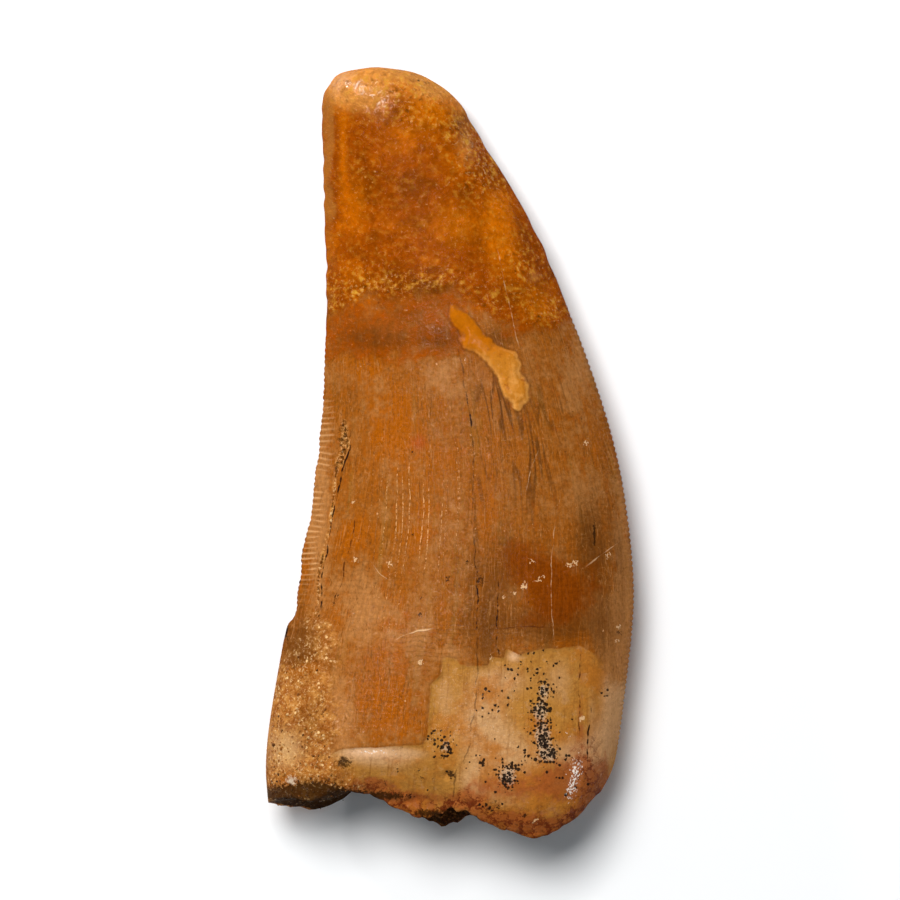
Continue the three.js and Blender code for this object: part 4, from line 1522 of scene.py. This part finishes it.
    def chips(self, colour: Socket) -> Socket:
        """Small pale chips and black dots, at most one to a random cell.

        Args:
            colour: The colour below.

        Returns:
            The colour with both.
        """
        graph, p = self.graph, self.p
        cells = graph.add("TexVoronoi", {"Vector": p.place, "Scale": 1 / self.chip_spacing_mm})
        chance = graph.add("SeparateColor", (cells.node.outputs["Color"],), "Green")
        ragged = graph.add("Math.MULTIPLY_ADD", (p.grit, 0.3, cells))
        for over, middle, half, most in ((self.chip, 0.12, 0.12, 0.8), (self.dot, 0.92, 0.08, 0.9)):
            picked = graph.add("Math.COMPARE", (chance, middle, half))
            spot = graph.add("MapRange", (ragged, 0.21, 0.17, 0.0, most))
            colour = graph.lay(colour, over, spot, picked)
        return colour


@dataclass(frozen=True)
class BareDentine(Finish):
    """Fossil dentine: chalkier and paler than enamel, split along the blade, and freckled with black
    manganese that grew in its pores, in freckles of 0.2 to 0.4 mm with pale grit between them."""

    tan: str = "#AE7632"
    cream: str = "#C0905E"
    ivory_highlight: str = "#E4B488"
    orange: str = "#AE661E"
    brown: str = "#86501E"
    red: str = "#944A20"
    umber: str = "#5A3014"
    rosy: str = "#BC8C5E"
    speck: str = "#17110D"
    grit: str = "#C8B49A"
    painted_glint: str = "#F4E8DA"
    crease_shade: str = "#5A1E0A"
    chip_mm: float = 1.2
    speck_spacing_mm: float = 0.29

    def layer(self) -> Layer:
        """The stains, the dark creases of the broken rim, which are painted shade, the freckles, and the
        painted glints.
        """
        graph, p = self.graph, self.p
        rim = p["rim"]
        mottled = graph.add("Math.MULTIPLY_ADD", (p.blotches, -1.6, p["red"]))
        mottled = graph.add("Math.MULTIPLY_ADD", (rim, 0.6, mottled))
        cells = {"Vector": p.warped, "Scale": 1 / self.chip_mm}
        chips = graph.add("TexVoronoi", cells, feature="DISTANCE_TO_EDGE")
        colour = graph.stain(
            linear(self.tan),
            # Partly painted light on the ledge.
            (self.cream, p["cream"], 0.1, 0.8),
            (self.orange, p.clouds, 0.44, 0.62, 0.8),
            (self.brown, p.fibres, 0.5, 0.72, 0.55),
            (self.brown, p.blotches, 0.52, 0.72, 0.5),
            (self.cream, p.blotches, 0.46, 0.32, 0.4),
            # Painted highlight along the ledge's top edge.
            (self.ivory_highlight, p["ivory_highlight"], 0.0, 1.0, 0.9),
            (self.brown, p["brown"], 0.1, 0.9, 0.8),
            (self.rosy, p["rosy"], 0.1, 0.9, 0.85),
            (self.red, mottled, -0.6, 0.1, 0.8),
            (self.umber, graph.add("Math.MULTIPLY_ADD", (p.grit, -1.8, rim)), 0.05, 0.4, 0.5),
            # Dark lines along the edges of random facets on the broken rim: painted shade in creases the mesh
            # doesn't have.
            (self.crease_shade, graph.add("Math.MULTIPLY_ADD", (chips, -11.0, rim)), -0.4, 0.7, 0.85),
        )
        colour = self.freckles(graph.shade(colour, p.grit, 0.87, 1.13))
        # Near-white specks where the polish field is high, on the broken corner and the ledge: painted
        # glints.
        fine = graph.lumps(p.place, (0.16, 0.22, 0.2), 1.0)
        painted_glints = graph.add("Math.MULTIPLY_ADD", (fine, 2.6, p["polish"]))
        colour = graph.stain(colour, (self.painted_glint, painted_glints, 2.1, 2.5, 0.85))
        return self.with_relief(colour, (p.grit, 0.3, 0.7, 0.48, 0.66), (p.blotches, 0.12), (p.grit, 0.06))

    def freckles(self, colour: Socket) -> Socket:
        """Black specks, one to a random cell where chance allows: ragged, of many sizes, and run together
        where they are crowded, with pale grit between them.

        Args:
            colour: The colour below.

        Returns:
            The colour with the specks.
        """
        graph, p, crowd = self.graph, self.p, self.p["specks"]
        colour = graph.stain(
            colour,
            (self.grit, graph.add("Math.MULTIPLY", (crowd, p.grit)), 0.3, 0.55, 0.5),
            (self.speck, graph.add("Math.MULTIPLY_ADD", (crowd, -0.24, p.grit)), 0.26, 0.16, 0.85),
        )
        spaced = {"Vector": p.upper_place, "Scale": 1 / self.speck_spacing_mm}
        cells = graph.add("TexVoronoi", spaced, voronoi_dimensions="2D")
        chance, smallness, _ = graph.add("SeparateColor", (cells.node.outputs["Color"],)).node.outputs
        size = cells
        for pattern, growth in ((p.grit, 0.7), (smallness, 0.6), (crowd, -0.2)):
            size = graph.add("Math.MULTIPLY_ADD", (pattern, growth, size))
        dot = graph.add("MapRange", (size, 1.02, 0.88, 0.0, 0.95))
        return graph.lay(colour, self.speck, dot, graph.add("Math.LESS_THAN", (chance, crowd)))


@dataclass(frozen=True)
class SandInResin(Finish):
    """The rebuilt tip: local sand stirred into resin, smoothed by hand and varnished. Grains of 0.2 to
    0.4 mm show through the amber film, most of them in bands where it is thin. At the very end it is
    thick and bright. Below the seam only the film goes on, over the enamel."""

    amber: str = "#903F00"
    umber: str = "#703200"
    glow: str = "#C46400"
    cap: str = "#CE863C"
    ochre: str = "#CC922E"
    olive: str = "#522E02"
    pale_fleck_and_glint: str = "#E8B462"
    putty: str = "#A8662E"

    def layer(self) -> Layer:
        """The resin's depth of colour, then the sand in it, and pale flecks that are partly painted glints.
        """
        graph, p = self.graph, self.p
        colour = graph.stain(
            linear(self.amber),
            (self.umber, p.clouds, 0.46, 0.64, 0.65),
            (self.glow, p.clouds, 0.44, 0.32, 0.35),
            (self.umber, p["brown"], 0.1, 0.9, 0.8),
            (self.glow, p["resin"], 0.1, 0.9, 0.85),
            (self.putty, p["putty"], 0.1, 0.9, 0.75),
            # Partly painted highlight under the tip's glint.
            (self.cap, p["cream"], 0.1, 0.9, 0.85),
        )
        colour = graph.shade(colour, p.blotches, 0.76, 1.26)
        colour = graph.shade(colour, p.grit, 0.92, 1.08)

        sand = graph.lumps(p.place, (0.6, 0.5, 0.5), 2.0, 0.5)
        grain = graph.add("Math.MULTIPLY_ADD", (p.grain_chance, 0.1, sand))
        patchy = graph.add("MapRange", (p.blotches, 0.38, 0.62, 0.45, 1.3))
        amount = graph.add("Math.MULTIPLY", (p["grit"], patchy))
        for over, start, full in ((self.ochre, 0.51, 0.84), (self.olive, 0.54, 0.24)):
            tint = graph.add("MapRange", (grain, start, full), interpolation_type="SMOOTHSTEP")
            colour = graph.lay(colour, over, tint, amount)
        # Pale flecks where grit is high: sand grains, and painted glints for the fine sparkle on the varnish.
        flecks_and_glints = graph.add("Math.MULTIPLY_ADD", (p["grit"], 0.12, p.grit))
        colour = graph.stain(colour, (self.pale_fleck_and_glint, flecks_and_glints, 0.62, 0.84, 0.35))
        return self.with_relief(colour, (p.blotches, 0.3, 0.7, 0.42, 0.56), (p.blotches, 0.1), (p.grit, 0.12))


@dataclass(frozen=True)
class YellowFiller(Finish):
    """Filler: a thick run of pale sand and glue, set hard. It is lighter than what it lies on, and its
    thin upper end is soaked with resin."""

    sand: str = "#BC7420"
    bright: str = "#DE9E52"
    soaked: str = "#B46206"
    scorched: str = "#94480E"
    soaked_from_mm: float = 8.0
    soaked_above_mm: float = 10.0

    def layer(self) -> Layer:
        """Sand and glue, lightened along the lip as painted highlight, soaked at the top and darkened in
        places.
        """
        graph, p = self.graph, self.p
        up = graph.add("SeparateXYZ", (p.place,), "Y")
        colour = graph.stain(
            linear(self.sand),
            (self.bright, p.blotches, 0.5, 0.68, 0.5),
            (self.bright, p["cream"], 0.1, 0.9, 0.8),
            # Lighter just inside the border: painted highlight along the raised lip.
            (self.bright, p["filler"], 0.4, 0.1, 0.45),
            (self.soaked, up, self.soaked_from_mm, self.soaked_above_mm),
            (self.scorched, p.blotches, 0.42, 0.3, 0.7),
            (self.soaked, p.fibres, 0.5, 0.7, 0.4),
        )
        colour = graph.shade(colour, p.grit, 0.9, 1.1)
        return self.with_relief(colour, (p.grit, 0.0, 1.0, 0.42, 0.6), (p.blotches, 0.1))


@dataclass(frozen=True)
class Sandstone(Finish):
    """Sandstone left by the rock: quartz and iron-stained grains of about 0.3 mm in a brown cement, matt
    but for the odd glint."""

    cement: str = "#98541A"
    honey: str = "#BE7E3A"
    rust: str = "#A45A12"
    quartz: str = "#E4B87C"
    dark: str = "#5E3208"
    frost: str = "#D0C4AC"

    def layer(self) -> Layer:
        """The cement and its grains, with a few bright ones, and frost where the rock is weathered."""
        graph, p = self.graph, self.p
        grains = graph.lumps(p.place, (0.3, 0.3, 0.3), 3.0, 0.8)
        colour = graph.stain(
            linear(self.cement),
            (self.honey, p.blotches, 0.4, 0.62),
            (self.dark, p["brown"], 0.1, 0.9, 0.7),
            (self.dark, p.clouds, 0.5, 0.64, 0.3),
            (self.rust, p.clouds, 0.46, 0.36, 0.6),
            (self.dark, grains, 0.48, 0.3, 0.7),
            (self.quartz, grains, 0.52, 0.7, 0.75),
            (self.quartz, p["cream"], 0.0, 1.0, 0.5),
        )
        bright = graph.add("MapRange", (p.grain_middle, 0.42, 0.3))
        picked = graph.add("Math.LESS_THAN", (p.grain_chance, 0.06))
        colour = graph.lay(colour, self.quartz, bright, picked)
        frosty = graph.add("Math.MULTIPLY_ADD", (grains, 1.5, p["putty"]))
        colour = graph.stain(colour, (self.frost, frosty, 1.3, 1.9, 0.8))
        return self.with_relief(colour, (grains, 0.0, 1.0, 0.45, 0.8), (grains, 0.12))


@dataclass(frozen=True)
class Marks(Finish):
    """What runs over all the surfaces: the ridges and worn border of the saw edge, with painted highlight on
    the ridges and painted shade in their valleys, cracks filled with dark clay, a dark line of painted shade
    beside the groove's sand and round the filler, pale scratches, single spots of which many pale ones are
    painted glints, and dirt where the tooth is sheltered or broken, partly painted shade at the crust's foot
    and over the broken end, which is also darkened as a whole as painted shade."""

    crack: str = "#24120A"
    hairline: str = "#5A2C0C"
    scratch: str = "#DDB282"
    ridge_highlight: str = "#E8B078"
    valley_shade: str = "#7C4616"
    bevel: str = "#AA6C28"
    dirt_and_shade: str = "#301A06"
    filler_line_mm: float = 0.15
    break_shade: float = 0.6

    def over(self, colour: Socket) -> Socket:
        """Draws all the marks.

        Args:
            colour: The colour below.

        Returns:
            The colour with the marks.
        """
        graph, p = self.graph, self.p
        # A dark line just outside the raised filler's border: painted shade at its foot.
        beside = graph.add("Math.ADD", (p["filler"], self.filler_line_mm))
        beside = graph.add("Math.ABSOLUTE", (beside,))
        colour = graph.stain(
            colour,
            # Lighter ridges and darker valleys on the saw edge: painted highlight and painted shade over ribs
            # that stand out very little.
            (self.ridge_highlight, p["rib"], 0.0, 1.2, 0.55),
            (self.valley_shade, p["rib"], 0.0, -1.2, 0.35),
            (self.bevel, p["bevel"], 0.0, 1.0, 0.55),
            (self.hairline, beside, 0.22, 0.0, 0.3),
        )
        for name, ink, half_width in (
            ("dark_cracks", self.crack, 0.055),
            ("groove_shade_and_edge_cracks", self.crack, 0.06),
            ("brown_cracks", self.hairline, 0.05),
            ("scratches", self.scratch, 0.05),
            ("faint_lines", self.scratch, 0.035),
        ):
            colour = self.lines(colour, name, ink, half_width)
        colour = self.spots(colour, DARK_SPOTS, self.crack)
        # Pale chips, and painted glints.
        colour = self.spots(colour, PALE_CHIPS_AND_PAINTED_GLINTS, self.scratch)
        # Dark stain from the dirt field: dirt in cracks and the groove, and painted shade at the crust's foot
        # and over the broken end.
        dirt_and_shade_share = graph.add("Math.MULTIPLY_ADD", (p.grit, -1.5, p["dirt_and_shade"]))
        colour = graph.stain(colour, (self.dirt_and_shade, dirt_and_shade_share, -0.4, 0.1, 0.9))
        # The whole broken end darkened: painted shade.
        shade = graph.add("MapRange", (p["broken"], 0.0, 1.0, 1.0, self.break_shade))
        return graph.add("VectorMath.SCALE", {0: colour, "Scale": shade})

    def spots(self, colour: Socket, marks: Sequence[Spot], ink: str) -> Socket:
        """Draws single spots over a colour: where the distance to the nearest one, in its radii, is less
        than about 1.

        Args:
            colour: The colour below.
            marks: The spots.
            ink: Their colour.

        Returns:
            The colour with the spots.
        """
        graph, nearest = self.graph, FAR_AWAY
        for spot in marks:
            gap = graph.add("VectorMath.DISTANCE", (self.p.warped, (spot.x, spot.y, 0)), "Value")
            radii = graph.add("Math.DIVIDE", (gap, spot.radius))
            nearest = graph.add("Math.MINIMUM", (radii, nearest))
        return graph.stain(colour, (ink, nearest, 1.3, 0.75, 0.9))

    def lines(self, colour: Socket, name: str, ink: str, half_width: float) -> Socket:
        """Draws one set of three lines over a colour: where the signed distance is within the half-width,
        which swells and fades along the line.

        Args:
            colour: The colour below.
            name: The set's name on the mesh.
            ink: The lines' colour.
            half_width: Half the width in mm.

        Returns:
            The colour with the lines.
        """
        graph = self.graph
        carried = [
            graph.add("Attribute", output="Vector", attribute_name=key) for key in (name, f"{name}_strength")
        ]
        offsets, strengths = (graph.add("SeparateXYZ", (vector,)).node.outputs for vector in carried)
        swell = graph.lumps(self.p.blade, (2.5, 1.2, 1.0), 3.0, 0.7)
        width = graph.add("MapRange", (swell, 0.42, 0.64, 0.4 * half_width, 1.8 * half_width))
        faint = graph.add("MapRange", (swell, 0.4, 0.56, 0.15, 1.0))
        for offset, strength in zip(offsets, strengths):
            distance = graph.add("Math.ABSOLUTE", (offset,))
            widths = graph.add("Math.DIVIDE", (distance, width))
            line = graph.add("MapRange", (widths, 1.3, 0.5))
            colour = graph.lay(colour, ink, line, strength, faint)
        return colour


@dataclass(frozen=True)
class FossilFinish:
    """The whole tooth's finish: each surface laid over the last by its distance field, then the marks
    that run over all of them, and a thin gloss where hands or varnish have polished it."""

    ior: float = 1.55
    specular: float = 0.0
    gloss_roughness: float = 0.06
    least_gloss: float = 0.05
    varnish_depth: float = 0.3

    FIELDS = ("restored", "filler", "dentine", "crust", "groove", "rim", "broken", "bevel", "rib", *STAINS)

    def material(self) -> bpy.types.Material:
        """Makes the material.

        Returns:
            The material.
        """
        made, graph = empty_material("fossil_enamel_dentine_and_resin")
        p = graph.patterns(self.FIELDS)
        finish = FossilEnamel(graph, p).layer()
        sandstone = Sandstone(graph, p).layer()
        for name, over, softness, fray in (
            ("dentine", BareDentine(graph, p).layer(), 0.08, 0.3),
            ("restored", SandInResin(graph, p).layer(), 0.7, 2.0),
            ("filler", YellowFiller(graph, p).layer(), 0.16, 0.6),
            ("crust", sandstone, 1.1, 4.5),
            ("groove", sandstone, 0.12, 0.5),
        ):
            frayed = graph.add("Math.MULTIPLY_ADD", (p.blotches, fray, p[name]))
            ends = (frayed, fray / 2 - softness, fray / 2 + softness)
            share = graph.add("MapRange", ends, interpolation_type="SMOOTHSTEP")
            finish = graph.blend(share, finish, over)

        uneven = graph.add("Math.MULTIPLY_ADD", (p.grit, 2.0, -1.0))
        gloss = graph.add("Math.ADD", (p["polish"], uneven))
        gloss = graph.add("MapRange", (gloss, 0.1, 0.9, self.least_gloss), interpolation_type="SMOOTHSTEP")
        depth = graph.add("MapRange", (p["polish"], 0.0, 0.5, MM, self.varnish_depth * MM))
        normal, varnish = (
            graph.add("Bump", {"Height": finish.height, "Distance": distance, "Strength": 1.0})
            for distance in (MM, depth)
        )
        shader = graph.add("BsdfPrincipled", {
            "Base Color": Marks(graph, p).over(finish.colour), "Roughness": finish.roughness,
            "Normal": normal, "IOR": self.ior, "Specular IOR Level": self.specular,
            "Coat Weight": gloss, "Coat Normal": varnish, "Coat Roughness": self.gloss_roughness,
        })
        graph.add("OutputMaterial", {"Surface": shader})
        return made


@dataclass(frozen=True)
class LooseGrains:
    """Finish of the sand grains that stand proud of the crust: quartz, honey and dark ironstone, each
    grain in one tone."""

    quartz: str = "#D8B078"
    honey: str = "#B47C38"
    cement: str = "#8E541C"
    dark: str = "#4A2C10"
    roughness: float = 0.55
    ior: float = 1.54
    specular: float = 0.12

    def material(self) -> bpy.types.Material:
        """Makes the material.

        Returns:
            The material.
        """
        made, graph = empty_material("sandstone_grains")
        place = graph.place_mm()
        tone = graph.add("Attribute", output="Fac", attribute_name="tone")
        colour = graph.stain(
            linear(self.dark),
            (self.cement, tone, 0.0, 0.3),
            (self.honey, tone, 0.3, 0.65),
            (self.quartz, tone, 0.65, 0.95),
        )
        colour = graph.shade(colour, graph.lumps(place, (0.3, 0.3, 0.3), 2.0), 0.85, 1.12)
        shader = graph.add("BsdfPrincipled", {
            "Base Color": colour, "Roughness": self.roughness, "IOR": self.ior,
            "Specular IOR Level": self.specular,
        })
        graph.add("OutputMaterial", {"Surface": shader})
        return made


@dataclass
class SandCrust:
    """Sand grains, half sunk in the crust, the groove and the broken end: small many-sided lumps joined
    in one mesh."""

    grains: int = 1400
    smallest: float = 0.05
    largest: float = 0.15
    seed: int = 7

    def lump(self) -> tuple[Array, Array]:
        """A rounded lump of 20 triangles: the 12 corners of an icosahedron, which are the three golden
        rectangles' corners.

        Returns:
            Its points at radius 1, and its triangles.
        """
        golden = (1 + math.sqrt(5)) / 2
        flat = np.array([(0, a, b * golden) for a in (-1, 1) for b in (-1, 1)])
        points = np.concatenate([flat, flat[:, [1, 2, 0]], flat[:, [2, 0, 1]]])
        near = np.linalg.norm(points[:, None] - points[None], axis=2) < 2.1
        faces = [
            (i, j, k) if np.linalg.det(points[[i, j, k]]) > 0 else (i, k, j)
            for i, j, k in combinations(range(12), 3)
            if near[i, j] and near[j, k] and near[i, k]
        ]
        return points / np.linalg.norm(points[0]), np.array(faces)

    def build(self, skin: dict[str, Array], material: bpy.types.Material) -> bpy.types.Object:
        """Scatters the grains over the skin's sandy points. Each is the lump, stretched and turned at
        random.

        Args:
            skin: The tooth's points and fields.
            material: The finish.

        Returns:
            The joined grains.
        """
        random = np.random.default_rng(self.seed)
        sandy = np.maximum(skin["crust"], 0.6 * skin["groove"])
        off_the_floor = skin["points"][:, 2] > self.largest
        low_down = 0.25 + smooth_step(-skin["points"][:, 1], 20, 28)
        inside = np.where(skin["broken"] > 0, 1.0, smooth_step(skin["edge"], 0.3, 0.8))
        weight = np.clip(sandy - 0.2, 0, 0.8) * off_the_floor * low_down * inside
        chosen = random.choice(len(weight), self.grains, replace=False, p=weight / weight.sum())
        centres = skin["points"][chosen] + random.uniform(-0.1, 0.1, (self.grains, 3))
        size = random.uniform(0, 1, self.grains) ** 1.8 * (self.largest - self.smallest) + self.smallest
        stretch = size[:, None] * random.uniform(0.75, 1.25, (self.grains, 3))
        turns, _ = np.linalg.qr(random.normal(size=(self.grains, 3, 3)))
        turns *= np.sign(np.linalg.det(turns))[:, None, None]
        points, faces = self.lump()
        bumpy = points[None] * random.uniform(0.85, 1.15, (self.grains, len(points), 1)) * stretch[:, None]
        placed = np.einsum("nij,nkj->nki", turns, bumpy) + centres[:, None]
        joined = faces[None] + (np.arange(self.grains) * len(points))[:, None, None]
        # Grains are darker where the dirt field is high, which is partly painted shade.
        dirt_and_shade = skin["dirt_and_shade"][chosen]
        tone = np.clip(random.beta(2.0, 2.0, self.grains) - 0.8 * dirt_and_shade, 0, 1)
        values = {"tone": np.repeat(tone, len(points))}
        return mesh_object(
            "sand_grains", placed.reshape(-1, 3), joined.reshape(-1, 3), values, material, smooth=False
        )


@dataclass(frozen=True)
class Softbox:
    """A square light: which way it lies from the tooth, its side in metres and its power."""

    name: str
    direction: tuple[float, float, float]
    side: float
    watts: float
    distance: float = 0.9

    def build(self) -> None:
        """Makes the light, facing the tooth."""
        light = bpy.data.lights.new(self.name, "AREA")
        light.shape, light.size, light.energy = "SQUARE", self.side, self.watts
        lamp = bpy.data.objects.new(self.name, light)
        direction = Vector(self.direction).normalized()
        lamp.location = direction * self.distance
        lamp.rotation_euler = direction.to_track_quat("Z", "Y").to_euler()
        bpy.context.scene.collection.objects.link(lamp)


@dataclass
class Studio:
    """A pale floor, one soft light from the upper left of the photograph, two small ones that only put
    glints on the tip and the broken corner, and the camera straight above."""

    floor_side: float = 3.0
    floor_colour: str = "#F6F6F6"
    lens_mm: float = 300.0
    sensor_mm: float = 36.0
    edge_height_mm: float = 6.0
    sky: float = 0.19
    sky_colour: tuple[float, float, float, float] = (0.84, 0.93, 1.0, 1.0)
    lights: tuple[Softbox, ...] = (
        Softbox("softbox", (-0.22, 0.39, 1.0), 0.4, 8.8),
        Softbox("tip_glint", (-2.4, 1.9, 1.0), 0.08, 1.6),
        Softbox("corner_glint", (0.5, -0.8, 1.0), 0.05, 0.25),
    )

    def build(self) -> bpy.types.Object:
        """Makes the floor, the lights and the camera.

        Returns:
            The floor.
        """
        scene = bpy.context.scene
        scene.view_settings.view_transform = "Standard"
        half = self.floor_side / 2 / MM
        corners = np.array([(-half, -half, 0), (half, -half, 0), (half, half, 0), (-half, half, 0)])
        floor = mesh_object("floor", corners, np.array([(0, 1, 2), (0, 2, 3)]), {}, self.paper())

        for softbox in self.lights:
            softbox.build()
        world = bpy.data.worlds.new("studio")
        world.use_nodes = True
        world.node_tree.nodes["Background"].inputs["Strength"].default_value = self.sky
        world.node_tree.nodes["Background"].inputs["Color"].default_value = self.sky_colour
        scene.world = world

        lens = bpy.data.cameras.new("camera")
        lens.lens, lens.sensor_width = self.lens_mm, self.sensor_mm
        lens.clip_start, lens.clip_end = 0.01, 10.0
        camera = bpy.data.objects.new("camera", lens)
        seen_mm = PHOTO_SIDE_PX / PX_PER_MM
        distance = self.lens_mm / self.sensor_mm * seen_mm + self.edge_height_mm
        rise = (PHOTO_MIDDLE_PX[1] - PHOTO_SIDE_PX / 2) / PX_PER_MM
        camera.location = (0, rise * MM, distance * MM)
        scene.collection.objects.link(camera)
        scene.camera = camera
        return floor

    def paper(self) -> bpy.types.Material:
        """White matt card: the floor's finish."""
        made, graph = empty_material("white_card")
        looks = {"Base Color": linear(self.floor_colour), "Roughness": 0.9, "Specular IOR Level": 0.1}
        graph.add("OutputMaterial", {"Surface": graph.add("BsdfPrincipled", looks)})
        return made


def main() -> None:
    """Builds the tooth, its sand and the studio, and reports each piece."""
    logging.basicConfig(level=logging.INFO, format="%(name)s: %(message)s")
    tooth, skin = Tooth().build(FossilFinish().material())
    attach(tooth, ROOT_BODY)
    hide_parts(NODE)
    log.info("%s: %d triangles", tooth.name, len(tooth.data.polygons))

    grains = SandCrust().build(skin, LooseGrains().material())
    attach(grains, ROOT_BODY)
    log.info("%s: %d triangles", grains.name, len(grains.data.polygons))

    Studio().build()


if __name__ == "__main__":
    main()
